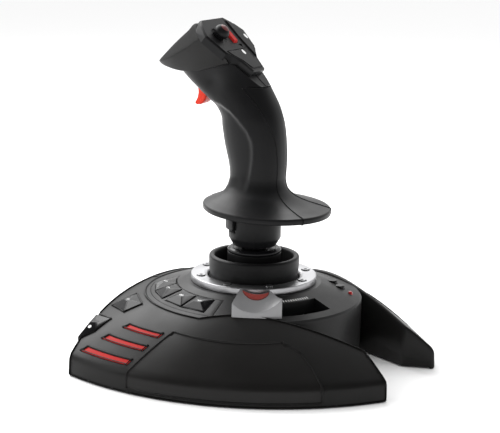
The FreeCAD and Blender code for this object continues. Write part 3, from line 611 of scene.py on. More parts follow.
CLAW_ROOT = (-52.5, -47.5)
CLAW_INNER = (-31.5, -96.5)
CLAW_TIP = (-38.0, -115.0)
HOLE_R = TURRET_R + 0.3
SKIRT_BOTTOM = RIM_R + SKIRT_Z - FLOOR_GAP
PANEL_FOOT = RIM_R + SKIRT_Z - 3.6
PANEL_TOP_R = 84.5
PANEL_TOP_ARC = (173.0, 221.5)
PANEL_LEFT = (-109.8, 27.4)
PANEL_RIGHT = [(-61.8, -67.4), (-64.9, -77.6), (-69.5, -87.0)]
PANEL_GAP = 0.35
STRIP_GAP = 0.25
CAP_GAP = 0.45
NOTCH_GAP = 0.5
STRIP_BANDS = [(32.1, 34.0), (25.0, 27.3), (17.1, 19.7)]
STRIP_SIDES = [((-74.3, 38.0), (-104.2, 79.5)), ((-78.8, 11.9), (-113.6, 35.9))]
WING_CAPS = [
    [(-57.0, 73.8), (-42.6, 64.6), (-59.4, 49.8), (-67.0, 58.2)],
    [(-66.6, 80.4), (-73.6, 64.4), (-83.6, 70.0), (-87.6, 80.4)],
]


def angle_at(point):
    return math.degrees(math.atan2(point[1] - ARC_Y, point[0] - ARC_X)) % 360


def rim_arc(radius, start, end, step=1.0):
    count = max(2, int(abs(end - start) / step))
    return [on_rim(radius, start + (end - start) * k / count) for k in range(count + 1)]


def circle_line(radius, a, b):
    """Where the line through a and b, going from a towards b, leaves the circle about the axis."""
    a, b = np.array(a), np.array(b)
    d = unit(b - a)
    along = float(a @ d)
    return tuple(a + d * (-along + math.sqrt(along ** 2 - a @ a + radius ** 2)))


def notch_outline():
    """Where the outer front button breaks through the front edge of the wing."""
    inner, back_a, back_b, outer = WING_CAPS[1]
    gap = NOTCH_GAP
    return [(inner[0] + gap, front_y(inner[0])), (back_a[0] + 0.4 * gap, back_a[1] - gap),
            (back_b[0] - gap, back_b[1] - gap), (outer[0] - gap, front_y(outer[0]))]


def shell_outline():
    sweep = np.arange(140.0, 175.0, 0.05)
    at_rim = [on_rim(RIM_R, degrees) for degrees in sweep]
    front_corner = next(d for d, (x, y) in zip(sweep, at_rim) if y < front_y(x))
    tip = angle_at(CLAW_TIP)
    notch = notch_outline()
    front = [(x, front_y(x)) for x in np.linspace(0.0, notch[0][0], 24)] + notch
    front += [(x, front_y(x)) for x in np.linspace(notch[-1][0], on_rim(RIM_R, front_corner)[0], 12)[1:]]
    foot = rim_arc(SKIRT_BOTTOM, front_corner, tip)
    root = circle_line(HOLE_R, CLAW_INNER, CLAW_ROOT)
    start = math.degrees(math.atan2(root[1], root[0])) % 360
    turret = [tuple(polar(HOLE_R, t)) for t in np.linspace(start, 90.0, 90)]
    return front + foot + [CLAW_TIP, CLAW_INNER] + turret


def panel_outline(grow=0.0):
    top = [polar(PANEL_TOP_R - grow, t) for t in np.linspace(*PANEL_TOP_ARC, 24)]
    left = np.array(PANEL_LEFT)
    right = [np.array(p) for p in PANEL_RIGHT]
    foot = PANEL_FOOT + grow
    shift = np.array([grow, -grow * 0.4])
    left_angle, right_angle = angle_at(left + [0, grow]), angle_at(right[-1] + shift)
    return ([tuple(p) for p in top] + [tuple(p + shift) for p in right]
            + [tuple(p) for p in rim_arc(foot, right_angle, left_angle)] + [tuple(left + [0, grow])])


def descend(start, step, low, high, z):
    """The point along a step, between two multiples of it, where the dome comes down to a height."""
    for _ in range(40):
        middle = 0.5 * (low + high)
        x, y = start + step * middle
        if dome_z(x, y) > z:
            low = middle
        else:
            high = middle
    return start + step * low


def level_point(z, side):
    """Where a level line of the dome crosses a straight side of the strips."""
    a, b = (np.array(p) for p in side)
    return descend(a, b - a, 0.0, 1.0, z)


def level_line(z, sides, count=14):
    start, end = level_point(z, sides[0]), level_point(z, sides[1])
    out = []
    for k in range(count + 1):
        p = start + (end - start) * k / count
        outward = unit(p - np.array([ARC_X, ARC_Y]))
        out.append(tuple(descend(p, outward, -20.0, 20.0, z)))
    return out


def strip_outline(band, grow=0.0):
    upper = level_line(band[1] + grow * 0.6, STRIP_SIDES)
    lower = level_line(band[0] - grow * 0.6, STRIP_SIDES)
    return upper + lower[::-1]


def grown(points, amount):
    loop = np.array(points, float)
    if signed_area(loop) < 0:
        loop = loop[::-1]
    return [tuple(p) for p in inset_loop(loop, -amount)]


def shell_wall(points, loop):
    """Outer border of the shell: upright walls down to the floor gap, tucked under along the skirt."""
    out = points.copy()
    reach = np.hypot(loop[:, 0] - ARC_X, loop[:, 1] - ARC_Y)
    on_foot = reach > SKIRT_BOTTOM - 0.5
    by_turret = np.hypot(loop[:, 0], loop[:, 1]) < HOLE_R + 0.6
    in_notch = (loop[:, 1] > 60.0) & (loop[:, 1] < front_y(loop[:, 0]) - 0.7)
    out[:, 2] = np.where(by_turret, points[:, 2] - 9.0, np.where(in_notch, points[:, 2] - 6.5, FLOOR_GAP))
    tucked = points - wing_normal(loop) * 1.6
    out[on_foot] = tucked[on_foot]
    return out


def make_shell():
    holes = [panel_outline(PANEL_GAP)] + [strip_outline(band, STRIP_GAP) for band in STRIP_BANDS]
    holes.append(grown(WING_CAPS[0], CAP_GAP))
    verts, faces = both_sides(*skin_mesh(shell_outline(), holes, radius=0.6, wall=2.2, outer_wall=shell_wall))
    shell = new_piece("base_shell_skin", verts, faces, "shell_plastic", "base", ["base_shell"], 50)
    weld(shell, 0.02)
    thicken(shell, 1.0)


def make_panels():
    left = skin_mesh(panel_outline(), radius=0.55, wall=1.4)
    for node, mesh in (("side_panel_left", left), ("side_panel_right", mirror_x(*left))):
        thicken(new_piece(node + "_skin", *mesh, "panel_plastic", "base", [node], 50), 0.9)


def make_strips():
    bands = joined(skin_mesh(strip_outline(band), depth=0.3, radius=0.2, wall=0.9) for band in STRIP_BANDS)
    strips = new_piece("accent_strips_skin", *both_sides(*bands), "accent_red", "base", ["accent_strips"], 50)
    thicken(strips, 0.5)


# ---- grip pieces ----

COLUMN = np.array([
    (122.0, 16.0, 18.6, -0.8), (130.0, 16.5, 19.4, -0.4), (142.0, 17.0, 20.8, 1.3), (154.0, 17.5, 21.2, 3.1),
    (162.0, 17.5, 21.1, 4.6), (170.0, 17.0, 22.8, 9.2), (177.5, 16.5, 25.8, 16.2), (185.0, 16.0, 28.5, 23.2),
    (190.0, 16.0, 29.6, 26.8), (197.0, 16.0, 26.5, 27.5)])
FLARE_Z = [104.6, 105.8, 107.6, 110.4, 114.6, 118.5, 122.0]
FLARE_SHARE = [1.0, 0.78, 0.52, 0.26, 0.08, 0.02, 0.0]
REST_R = 42.0
REST_Y = -8.6
REST_Z0 = 100.4
REST_Z1 = 104.6
REST_TILT = 0.04
COLUMN_POWER = 2.3
FINGER_ZONE = np.array([
    (70.0, 171.5), (35.8, 171.5), (25.0, 171.4), (18.6, 170.2), (11.0, 166.6), (5.0, 161.7), (-2.3, 154.3),
    (-5.4, 148.0), (-6.2, 143.1), (-6.2, 136.0), (-5.5, 130.4), (-3.1, 117.8), (-1.0, 105.0), (70.0, 105.0)])
PLATE_TOP = np.array([0.0, 35.1, 222.3])
PLATE_SLOPE = math.radians(40.1)
SLOPE_DIR = np.array([0.0, -math.cos(PLATE_SLOPE), -math.sin(PLATE_SLOPE)])
PLATE_NORMAL = np.array([0.0, -math.sin(PLATE_SLOPE), math.cos(PLATE_SLOPE)])


def on_plate(x, along, depth=0.0):
    return PLATE_TOP + np.array([x, 0, 0]) + SLOPE_DIR * along - PLATE_NORMAL * depth


def plate_height(y, depth):
    """Height of the plane parallel to the thumb plate, that deep under its face."""
    base = PLATE_TOP - PLATE_NORMAL * depth
    return base[2] + (y - base[1]) * math.tan(PLATE_SLOPE)


def column_point(theta, z, rim_scale=1.0):
    """Point of the grip's outer surface at a bearing and a height; below the flare it is the hand rest."""
    column = [spline(COLUMN[:, 0], COLUMN[:, k], z) for k in (1, 2, 3)]
    share = np.where(z >= 122.0, 0.0, spline(FLARE_Z, FLARE_SHARE, z))
    half_x = column[0] + (REST_R - column[0]) * share
    half_y = column[1] + (REST_R - column[1]) * share
    middle = column[2] + (REST_Y - column[2]) * share
    power = COLUMN_POWER - (COLUMN_POWER - 2.0) * share
    c, s = np.cos(theta), np.sin(theta)
    x = half_x * rim_scale * np.sign(c) * np.abs(c) ** (2.0 / power)
    y = middle + half_y * rim_scale * np.sign(s) * np.abs(s) ** (2.0 / power)
    lean = REST_TILT * (y - REST_Y) * np.clip(1.0 - (z - REST_Z1) / 18.0, 0, 1)
    return np.stack([x, y, z + lean], axis=-1)


def shaped(theta, z, rim_scale=1.0):
    """Column point with the recessed finger zone and the ridge that bounds it."""
    points = column_point(theta, z, rim_scale)
    off_y = points[..., 1] - spline(COLUMN[:, 0], COLUMN[:, 3], z)
    normal = unit(np.stack([points[..., 0] / 17.0 ** 2, off_y / 21.0 ** 2, np.zeros_like(z)], axis=-1))
    flat = points[..., 1:].reshape(-1, 2)
    distance = loop_distance(flat, FINGER_ZONE).reshape(z.shape)
    inside = inside_loop(flat, FINGER_ZONE).reshape(z.shape)
    recess = np.where(inside, 2.4 * smoothstep(-1.0, 3.4, distance) - 0.5, -0.5 * np.exp(-distance / 5.0))
    fade = smoothstep(112.0, 128.0, z) * smoothstep(199.0, 186.0, z)
    hollow = 1.9 * np.exp(-((points[..., 1] - 27.0) / 8.5) ** 2 - ((z - 184.0) / 7.0) ** 2)
    side = np.clip(np.abs(normal[..., 0]) * 1.3 - 0.15, 0, 1)
    return points - normal * ((recess * fade + hollow) * side)[..., None]


PALM_Z = [100.0, 104.6, 112.0, 122.0, 135.0, 151.7, 160.0, 167.6, 176.0, 181.4]
PALM_BEARING = [241.3, 241.3, 247.0, 250.0, 250.0, 243.0, 233.0, 224.0, 216.0, 212.0]
PALM_TOP = 181.4
PALM_GAP = 0.014
PALM_COLUMNS = 40
GRIP_TOP_DEPTH = 4.6
FRONT_COLUMNS = 72
SEAM_COLUMNS = 14
SEAM_STRIP = math.radians(4.5)


def grip_rows():
    """Heights and rim scales of the grid rows, from the hand rest's underside up to the palm cover's top."""
    rows = [(REST_Z0, scale) for scale in np.linspace(0.40, 0.965, 8)]
    for k in range(1, 6):
        t = 0.5 * math.pi * k / 5
        rows.append((REST_Z0 + 1.0 * (1 - math.cos(t)), 0.965 + 0.035 * math.sin(t)))
    rows += [(REST_Z0 + 2.2, 1.0)]
    for k in range(0, 6):
        t = 0.5 * math.pi * k / 5
        rows.append((REST_Z1 - 1.3 * (1 - math.sin(t)), 1.0 - 0.03 * (1 - math.cos(t))))
    rows += [(z, 1.0 - 0.03 * smoothstep(106.5, 104.6, z)) for z in np.linspace(104.75, 107.0, 8)]
    rows += [(z, 1.0) for z in np.linspace(107.5, 122.0, 18)]
    rows += [(z, 1.0) for z in np.linspace(123.2, PALM_TOP, 52)]
    return np.array(rows)


def palm_edge(z):
    return np.radians(spline(PALM_Z, PALM_BEARING, z))


def make_grip_half(side):
    """One half, from the front seam round to the palm cover and over the top; side -1 is left, 1 is right."""
    rows = grip_rows()
    lower_z, scale = rows[:, 0], rows[:, 1]
    columns = FRONT_COLUMNS + SEAM_COLUMNS
    start = math.radians(90.0)

    def bearings(edge, last_edge):
        """Even columns up to the seam strip, then the strip itself, opened out above the palm cover."""
        head = start + (edge - SEAM_STRIP - start)[:, None] * np.linspace(0, 1, FRONT_COLUMNS)[None]
        share = np.linspace(0, 1, SEAM_COLUMNS + 1)[1:]
        tail = (edge - SEAM_STRIP)[:, None] + (last_edge - edge + SEAM_STRIP)[:, None] * share[None]
        return np.concatenate([head, tail], axis=1)

    ends = palm_edge(lower_z)
    z = np.repeat(lower_z[:, None], columns, axis=1)
    points = shaped(bearings(ends, ends), z, scale[:, None])
    top_edge = palm_edge(np.array([PALM_TOP]))
    last = bearings(top_edge, np.array([math.radians(270.0)]))[0]
    upper = []
    for step in np.linspace(0.0, 1.0, 14):
        height = np.full(columns, 190.0)
        for _ in range(25):
            reach = column_point(last, height)
            aimed = np.clip(plate_height(reach[:, 1], GRIP_TOP_DEPTH), PALM_TOP + 0.6, 196.0)
            height = 0.5 * height + 0.5 * aimed
        z_here = PALM_TOP + 0.5 + (height - PALM_TOP - 0.5) * step
        upper.append(shaped(last, z_here))
    crown = upper[-1]
    middle = np.array([0.0, 22.0, plate_height(22.0, GRIP_TOP_DEPTH)])
    for step in (0.02, 0.05, 0.12, 0.3, 0.6, 0.92):
        ring = crown + (middle - crown) * step
        ring[:, 2] = np.where(crown[:, 2] > 195.0, ring[:, 2], np.minimum(
            ring[:, 2], plate_height(ring[:, 1], GRIP_TOP_DEPTH)))
        upper.append(ring)
    grid = np.concatenate([points, np.array(upper)])
    name = "grip_left" if side < 0 else "grip_right"
    grip_skin(name, grid * np.array([-side, 1.0, 1.0]), (0, 0, 1, 1), flip=side > 0)


def make_palm_cover():
    rows = grip_rows()
    z_rows, scale = rows[:, 0], rows[:, 1]
    share = np.linspace(0, 1, PALM_COLUMNS)
    first = palm_edge(z_rows) + PALM_GAP
    last = math.radians(540.0) - first
    theta = first[:, None] + (last - first)[:, None] * share[None]
    z = np.repeat(z_rows[:, None], PALM_COLUMNS, axis=1)
    grip_skin("palm_cover", shaped(theta, z, scale[:, None]), (0, 1, 1, 1))


BEAK_RINGS = [
    [(1.2, 75.0, 192.7), (1.7, 74.8, 191.9), (1.2, 74.0, 191.2)],
    [(4.6, 71.0, 195.4), (6.0, 70.6, 192.6), (4.4, 69.6, 189.9)],
    [(8.6, 59.0, 205.4), (12.4, 58.6, 197.0), (8.6, 58.6, 188.4)],
    [(12.0, 47.0, 214.6), (17.6, 44.0, 204.4), (12.8, 46.4, 188.4)],
    [(14.4, 38.6, 220.4), (20.8, 32.6, 210.6), (15.6, 36.0, 190.0)],
    [(17.0, 28.0, 212.0), (20.8, 22.0, 205.6), (17.2, 24.0, 193.4)],
    [(17.4, 15.4, 202.6), (18.6, 14.0, 199.4), (16.8, 12.8, 196.6)],
]


BEAK_STEPS = 46
BEAK_FILLET = 0.8


def round_ring(corners, fillet, steps=4, straight=4):
    """Closed ring through 3-D corners, each turned into a short curve."""
    out = []
    count = len(corners)
    for i in range(count):
        here = corners[i]
        before, after = corners[i - 1] - here, corners[(i + 1) % count] - here
        reach_a = min(fillet, 0.42 * np.linalg.norm(before))
        reach_b = min(fillet, 0.42 * np.linalg.norm(after))
        start, end = here + unit(before) * reach_a, here + unit(after) * reach_b
        out += corner_curve(start, here, end, steps)
        stop = corners[(i + 1) % count] - unit(after) * reach_b
        out += [end + (stop - end) * k / straight for k in range(1, straight)]
    return np.array(out)


def make_nose():
    knots = np.arange(len(BEAK_RINGS))
    half = np.array(BEAK_RINGS)
    rings = []
    for at in np.linspace(0, len(BEAK_RINGS) - 1, BEAK_STEPS):
        right = np.array([[float(spline(knots, half[:, i, k], at)) for k in range(3)] for i in range(3)])
        left = right[::-1] * np.array([-1.0, 1.0, 1.0])
        rings.append(round_ring(np.concatenate([right, left]), BEAK_FILLET))
    grid = np.array(rings)
    rows, columns = grid.shape[:2]
    verts = list(grid.reshape(-1, 3))
    faces = grid_faces(rows, columns, closed=True)
    tip, back = len(verts), len(verts) + 1
    verts += [grid[0].mean(axis=0) + np.array([0, 0.3, 0]), grid[-1].mean(axis=0)]
    for j in range(columns):
        k = (j + 1) % columns
        faces.append((tip, j, k))
        faces.append((back, (rows - 1) * columns + k, (rows - 1) * columns + j))
    new_piece("nose_shell_skin", verts, faces, "shell_plastic", "grip", ["nose_shell"], 60)


def make_neck_stack():
    ball = [(math.sqrt(22.5 ** 2 - (z - 45.0) ** 2), z, 0) for z in np.linspace(52.5, 58.8, 14)]
    lathe("ball_boot_skin", ball + [(17.7, 60.4, 0.5), (17.7, 71.8, 0.3), (8.3, 71.8, 0), (8.3, 58.0, 0),
                                    (15.0, 58.0, 0), (19.0, 52.5, 0)], "cup_rubber", "cradle", ["ball_boot"])
    lathe("collar_ring_skin", [
        (8.3, 71.9, 0), (17.3, 71.9, 0.2), (17.7, 72.6, 0.3), (17.7, 74.0, 0.9), (16.0, 75.0, 0.5),
        (14.4, 75.0, 0.3), (13.8, 74.3, 0.3), (8.3, 74.3, 0)], "button_gloss", "cradle", ["collar_ring"])


def make_cup():
    lathe("cup_collar_skin", [
        (24.7, 52.8, 0), (33.1, 52.8, 0.3), (33.1, 54.3, 0.4), (30.0, 54.3, 0.6), (29.2, 56.2, 1.6),
        (29.9, 65.0, 1.0), (29.9, 70.0, 2.0), (26.2, 70.0, 1.8), (25.4, 63.0, 2.0), (24.7, 57.0, 1.0)],
        "cup_rubber", "base", ["cup_collar"])


# ---- buttons and trim ----

SEAT_R = 45.0
SEAT_Z = 52.6
CRESCENT_R0 = 51.9
CRESCENT_R1 = 65.4
CRESCENT_SPANS = [(165.0, 180.4), (148.6, 164.0), (129.6, 144.8), (113.2, 128.6)]
CRESCENT_NUMERALS = ["6", "8", "7", "5"]
SLOT_R0 = 52.2
SLOT_R1 = 65.5
SLOT_A0 = 200.0
SLOT_A1 = 257.5
SLOT_FLOOR = 41.6
RING_Z = 57.0
RING_SCREW_R = 36.0
# Radius of the flat dark disc round each ring screw: painted shade, not a modelled recess.
RING_SHADE_RADIUS = 3.15
CAP_DEPTH = 3.0
CAP_RIM = 0.5
CROWN_SHARE = 0.3
CROWN_LIFT = 0.82
CRESCENT_RISE = 2.6
WING_RISE = 3.2
FIGURE_SIZE = 4.6
FIGURE_UP = np.array([0.35, 0.94, 0.0])
SCALE_SPAN = (227.0, 252.0)
SCALE_TICKS = 13
SCALE_R = (49.3, 51.2)
TICK_HALF = 0.28


def turret_z(x, y):
    return CREST_Z + (TURRET_R - math.hypot(x, y)) * (SEAT_Z - CREST_Z) / (TURRET_R - SEAT_R)


def soften(obj, width, angle):
    weld(obj, 0.002)
    bevel = obj.modifiers.new("edge", "BEVEL")
    bevel.width = width * MM
    bevel.segments = 3
    bevel.limit_method = "ANGLE"
    bevel.angle_limit = math.radians(angle)
    bevel.use_clamp_overlap = True


def numeral(name, text, origin, body):
    """A printed figure, a hair thick, lying level and turned to read from the left."""
    curve = bpy.data.curves.new(name, "FONT")
    curve.body = text
    curve.size = FIGURE_SIZE * MM
    curve.extrude = 0.03 * MM
    curve.offset = 0.05 * MM
    curve.align_x = curve.align_y = "CENTER"
    source = bpy.data.objects.new(name + "_source", curve)
    mesh = bpy.data.meshes.new_from_object(source)
    bpy.data.objects.remove(source)
    bpy.data.curves.remove(curve)
    verts = np.array([tuple(v.co) for v in mesh.vertices]) / MM
    faces = [tuple(f.vertices) for f in mesh.polygons]
    bpy.data.meshes.remove(mesh)
    up = unit(FIGURE_UP)
    across = np.array([up[1], -up[0], 0.0])
    placed = np.asarray(origin) + verts @ np.array([across, up, [0, 0, 1.0]])
    print_piece(name, placed, faces, body)


def print_piece(name, verts, faces, body):
    piece = new_piece(name, verts, faces, "lever_silver", body)
    paint(piece, PRINT_WHITE)
    return piece


def faceted_cap(node, body, points, height, rise, text=None):
    """Four-sided button: upright walls, sloping facets and a small flat crown with its figure."""
    points = np.array(points, float)
    if signed_area(points) < 0:
        points = points[::-1]
    middle = points.mean(axis=0)
    base = min(height(x, y) for x, y in points) - CAP_DEPTH
    foot = [(x, y, base) for x, y in points]
    rim = [(x, y, height(x, y) + CAP_RIM) for x, y in points]
    crown_z = height(*middle) + rise * CROWN_LIFT
    crown = [(*(middle + (p - middle) * CROWN_SHARE), crown_z) for p in points]
    cap = new_piece(node + "_cap", *stacked_rings([foot, rim, crown]), "button_gloss", body, [node], 25)
    soften(cap, 0.45, 12.0)
    if text:
        numeral(node + "_figure", text, (*middle, crown_z + 0.02), body)


def wing_z(x, y):
    return float(dome_z(-abs(x), y))


def make_caps():
    for i, (a0, a1) in enumerate(CRESCENT_SPANS):
        corners = [polar(CRESCENT_R1, a0), polar(CRESCENT_R1, a1)]
        corners += [polar(CRESCENT_R0, a1), polar(CRESCENT_R0, a0)]
        faceted_cap("crescent_button_%d" % (i + 1), "crescent_%d" % (i + 1), corners, turret_z, CRESCENT_RISE,
                    CRESCENT_NUMERALS[i])
    for number, (side, i, text) in enumerate(((-1, 0, "9"), (-1, 1, None), (1, 0, "10"), (1, 1, None)), 1):
        node, body = "wing_button_%d" % number, "wing_%d" % number
        placed = [(-side * x, y) for x, y in WING_CAPS[i]]
        faceted_cap(node, body, placed, wing_z, WING_RISE, text)
        if i:
            dot_on_cap(node + "_dot", body, placed)


def dot_on_cap(name, body, points):
    """White dot on the facet that faces outward and back."""
    points = np.array(points)
    middle = points.mean(axis=0)
    a, b = points[2], points[3]
    crown_z = wing_z(*middle) + WING_RISE * CROWN_LIFT
    crown = np.array([*(middle + ((a + b) / 2 - middle) * CROWN_SHARE), crown_z])
    rim_a, rim_b = (np.array([*p, wing_z(*p) + CAP_RIM]) for p in (a, b))
    centre = crown * 0.6 + (rim_a + rim_b) * 0.2
    across = unit(rim_b - rim_a)
    normal = unit(np.cross(rim_b - rim_a, crown - (rim_a + rim_b) / 2))
    if normal[2] < 0:
        normal = -normal
    oval = disc(centre + normal * 0.05, across * 1.3, np.cross(normal, across), normal, 0.12)
    print_piece(name, *oval, body)


def disc(centre, half_a, half_b, normal, thick, count=28):
    turns = np.linspace(0, 2 * math.pi, count, endpoint=False)
    outline = np.cos(turns)[:, None] * half_a + np.sin(turns)[:, None] * half_b
    if np.cross(half_a, half_b) @ normal < 0:
        outline = outline[::-1]
    low = centre + outline - normal * thick
    mid = centre + outline
    top = centre + outline * 0.9 + normal * 0.03
    return stacked_rings([low, mid, top])


def make_thumb_prints():
    for name, body, x, q, height in (("mark_left", "thumb_left", 0.2, 30.7, 0.5),
                                     ("mark_right", "thumb_right", 18.4, 18.6, 0.9)):
        oval = disc(on_plate(x, q, -height), SLOPE_DIR * 2.1, np.array([1.4, 0, 0]), PLATE_NORMAL, 0.1)
        print_piece(name, *oval, body)


HAT_X = -9.5
HAT_Q = 14.0


def bulb(radius, middle, height, start, end, count):
    """Points over a rounded top, from near the axis outward and down."""
    turns = np.linspace(start, end, count)
    return [(radius * math.sin(t), middle + height * math.cos(t), 0) for t in turns]


def hat_lathe(name, corners, slot, body, replaces=()):
    """Turned piece standing on the thumb plate at the hat's place."""
    def place(x, y, height):
        return on_plate(HAT_X + x, HAT_Q - y, -height)
    return lathe(name, corners, slot, body, replaces, segments=64, place=place)


def make_hat():
    dome = [(0.02, 7.6, 0)] + bulb(5.15, 3.1, 4.5, 0.12, 1.9, 18)
    dome += [(3.4, 0.9, 0.4), (3.2, -2.1, 0), (0.02, -2.1, 0)]
    hat_lathe("hat_cap_dome", dome, "grip_plastic", "hat", ["hat_cap"])
    tint = [(0.02, 7.66, 0)] + bulb(5.19, 3.12, 4.53, 0.1, 0.62, 8) + [(2.8, 6.6, 0), (0.02, 6.9, 0)]
    paint(hat_lathe("hat_cap_tip", tint, "accent_red", "hat"), HAT_TINT)
    well = [(6.6, 0.06, 0.1), (6.0, -1.1, 0.3), (4.5, -1.3, 0.2), (4.3, -4.0, 0), (4.1, -4.0, 0),
            (4.1, -1.0, 0.1), (6.0, -0.7, 0.1), (6.5, 0.04, 0)]
    hat_lathe("hat_well", well, "frame_plastic", "grip")


TRIGGER_OUTLINE = [
    (42.4, 183.4), (42.9, 178.6), (42.5, 174.4), (43.2, 170.8), (44.8, 167.7), (44.4, 166.5), (42.8, 166.0),
    (39.6, 166.9), (37.6, 168.8), (36.2, 172.0), (34.6, 176.0), (33.7, 180.0), (34.8, 183.0), (38.0, 184.0)]
TRIGGER_LAYERS = [(-5.1, 1.3), (-5.0, 0.7), (-4.6, 0.3), (-3.9, 0.06), (-3.0, 0.0), (3.0, 0.0), (3.9, 0.06),
                  (4.6, 0.3), (5.0, 0.7), (5.1, 1.3)]


def make_trigger():
    loop = np.array(TRIGGER_OUTLINE)
    knots = np.arange(len(loop) + 1)
    closed = np.concatenate([loop, loop[:1]])
    at = np.linspace(0, len(loop), 70, endpoint=False)
    fine = np.stack([spline(knots, closed[:, 0], at), spline(knots, closed[:, 1], at)], axis=1)
    if signed_area(fine) < 0:
        fine = fine[::-1]
    rings = [[(x, y, z) for y, z in inset_loop(fine, inset)] for x, inset in TRIGGER_LAYERS]
    new_piece("trigger_blade", *stacked_rings(rings), "trigger_red", "trigger", ["trigger"], 60)


def make_slot_lining():
    """Dark walls round the throttle slot, from just under the turret's face down into it."""
    bearings = np.linspace(SLOT_A0 + 0.06, SLOT_A1 - 0.06, 60)
    outline = [polar(SLOT_R0 + 0.05, a) for a in bearings]
    outline += [polar(SLOT_R1 - 0.05, a) for a in bearings[::-1]]
    upper = [(x, y, turret_z(x, y) - 0.35) for x, y in outline]
    lower = [(x, y, SLOT_FLOOR) for x, y in outline]
    faces = grid_faces(2, len(outline), closed=True)
    new_piece("slot_lining", upper + lower, faces, "cup_rubber", "base", [], 30)


def make_throttle_scale():
    verts = []
    for degrees in np.linspace(*SCALE_SPAN, SCALE_TICKS):
        for radius, offset in ((SCALE_R[0], -TICK_HALF), (SCALE_R[0], TICK_HALF),
                               (SCALE_R[1], TICK_HALF), (SCALE_R[1], -TICK_HALF)):
            spot = polar(radius, degrees) + polar(1.0, degrees + 90.0) * offset
            verts.append((*spot, turret_z(*spot) + 0.05))
    faces = [(k, k + 3, k + 2, k + 1) for k in range(0, len(verts), 4)]
    thicken(print_piece("throttle_scale", verts, faces, "base"), 0.08)


SCOOP_R = 21.6
SCOOP_TOP = 49.2
SCOOP_RISE = 0.188
LEVER_R1 = 68.4
LEVER_A = 210.75
DOT_PITCH = 0.95
DOT_FIRST_R = 44.8
DOT_LEVELS = [(-0.08, 0.36), (0.1, 0.34), (0.2, 0.2)]


def scoop_axis(radius, offset):
    lift_z = SCOOP_R / math.cos(math.atan(SCOOP_RISE))
    spot = polar(radius, LEVER_A) + polar(1.0, LEVER_A + 90.0) * offset
    return np.array([*spot, SCOOP_TOP + SCOOP_RISE * (LEVER_R1 - radius) + lift_z])


def make_pad_dots():
    """Rows of small raised dots on the thumb rest, standing square to its scooped face."""
    start, end = scoop_axis(80.0, -3.1), scoop_axis(30.0, 3.8)
    axis = unit(end - start)
    down = np.array([0.0, 0.0, 1.0])
    dots = []
    for row, column in ((row, column) for row in range(7) for column in range(-8, 9)):
        across = (column + 0.5 * (row % 2)) * DOT_PITCH
        spot = polar(DOT_FIRST_R + row * DOT_PITCH, LEVER_A) + polar(1.0, LEVER_A + 90.0) * across
        if np.linalg.norm(spot - polar(43.0, LEVER_A)) > 7.9 or np.linalg.norm(spot) < 44.6:
            continue
        base = np.array([*spot, 0.0]) - start
        a = 1 - (down @ axis) ** 2
        b = 2 * (base @ down - (base @ axis) * (down @ axis))
        c = base @ base - (base @ axis) ** 2 - (SCOOP_R - 0.5) ** 2
        foot = np.array([*spot, (-b - math.sqrt(b * b - 4 * a * c)) / (2 * a)])
        rel = foot - start
        normal = unit(axis * (rel @ axis) - rel)
        side = unit(np.cross(normal, axis))
        ahead = np.cross(side, normal)
        turns = np.linspace(0, 2 * math.pi, 8, endpoint=False)
        around = [side * math.cos(t) + ahead * math.sin(t) for t in turns]
        dots.append(stacked_rings([[foot + normal * h + v * r for v in around] for h, r in DOT_LEVELS]))
    paint(new_piece("throttle_pad_dots", *joined(dots), "accent_red", "throttle", [], 60), DOT_LIGHT)


def make_ring():
    lathe("trim_ring_skin", [
        (41.5, 52.75, 0.2), (41.5, RING_Z, 0.6), (32.8, RING_Z, 0.3), (31.2, RING_Z - 0.5, 0.2),
        (30.5, RING_Z - 1.2, 0), (30.5, 54.5, 0), (33.6, 54.5, 0), (33.6, 52.75, 0)],
        "silver_metal", "base", ["trim_ring"], segments=192)
    # Flat dark discs laid on the ring round each screw head: painted shade standing in for the shadowed
    # countersunk recesses.
    centres = [np.array([*polar(RING_SCREW_R, 45 * i), RING_Z + 0.04]) for i in range(8)]
    east, north, up = np.eye(3)
    screw_shade_discs = joined(disc(centre, east * RING_SHADE_RADIUS, north * RING_SHADE_RADIUS, up, 0.3) for centre in centres)
    new_piece("ring_screw_painted_shade", *screw_shade_discs, "frame_plastic", "base")


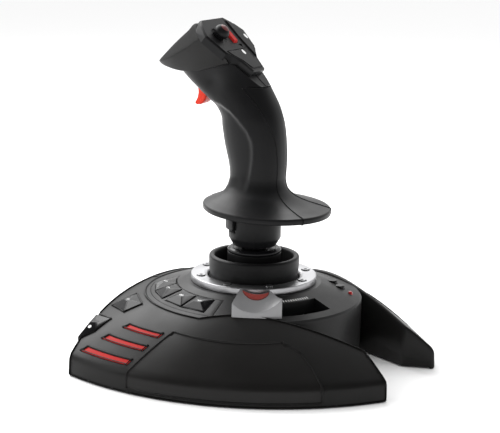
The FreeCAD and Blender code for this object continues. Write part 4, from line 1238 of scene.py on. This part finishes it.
def make_notch_aprons():
    """The front wall carried on below each outer wing button."""
    outline = notch_outline()
    top = min(float(dome_z(x, y)) for x, y in WING_CAPS[1]) - 4.3
    front = [(x, front_y(x) - 0.15) for x in np.linspace(outline[0][0], outline[-1][0], 24)]
    loop = front + [(x, y - 2.2) for x, y in front][::-1]
    if signed_area(np.array(loop)) < 0:
        loop = loop[::-1]
    apron = stacked_rings([[(x, y, z) for x, y in loop] for z in (3.0, top)])
    new_piece("notch_aprons", *both_sides(*apron), "shell_plastic", "base", [], 30)


# Each CAD node that keeps its shape: bevel width and the angle its edges must exceed.
EDGES = {
    "thumb_plate": (0.5, 30), "thumb_button_red": (0.35, 20), "thumb_button_left": (0.25, 20),
    "thumb_button_right": (0.3, 20), "throttle_lever": (0.55, 35), "crescent_panel": (0.25, 35),
    "lock_slider": (0.4, 35), "neck_collar": (0.5, 35), "preset_button": (0.25, 35),
    "mapping_button": (0.25, 35),
}


def dress_edges():
    for node, (width, angle) in EDGES.items():
        soften(NODES[node], width, angle)
    paint(NODES["throttle_pad"], DOT_RED)


def dress_nodes():
    for part in frame["record"]["subparts"]:
        obj = NODES[part["node"]]
        paint(obj, MATERIALS[part["material_slot"]])


FLOOR_SIZE = 6.0


def make_floor():
    mesh = bpy.data.meshes.new("floor")
    corners = [(x * FLOOR_SIZE, y * FLOOR_SIZE, 0) for x, y in ((-1, -1), (1, -1), (1, 1), (-1, 1))]
    mesh.from_pydata(corners, [], [(0, 1, 2, 3)])
    floor = bpy.data.objects.new("floor", mesh)
    bpy.context.scene.collection.objects.link(floor)
    paint(floor, surface("floor", (0.95, 0.95, 0.95), 0.8, wear=0.0, specular=0.0, mottle=0.004))


make_camera()
make_studio()
make_floor()
dress_nodes()
make_shell()
make_panels()
make_strips()
for half in (-1, 1):
    make_grip_half(half)
make_palm_cover()
make_nose()
make_neck_stack()
make_cup()
make_caps()
make_notch_aprons()
make_thumb_prints()
make_hat()
make_trigger()
make_slot_lining()
make_throttle_scale()
make_pad_dots()
make_ring()
dress_edges()
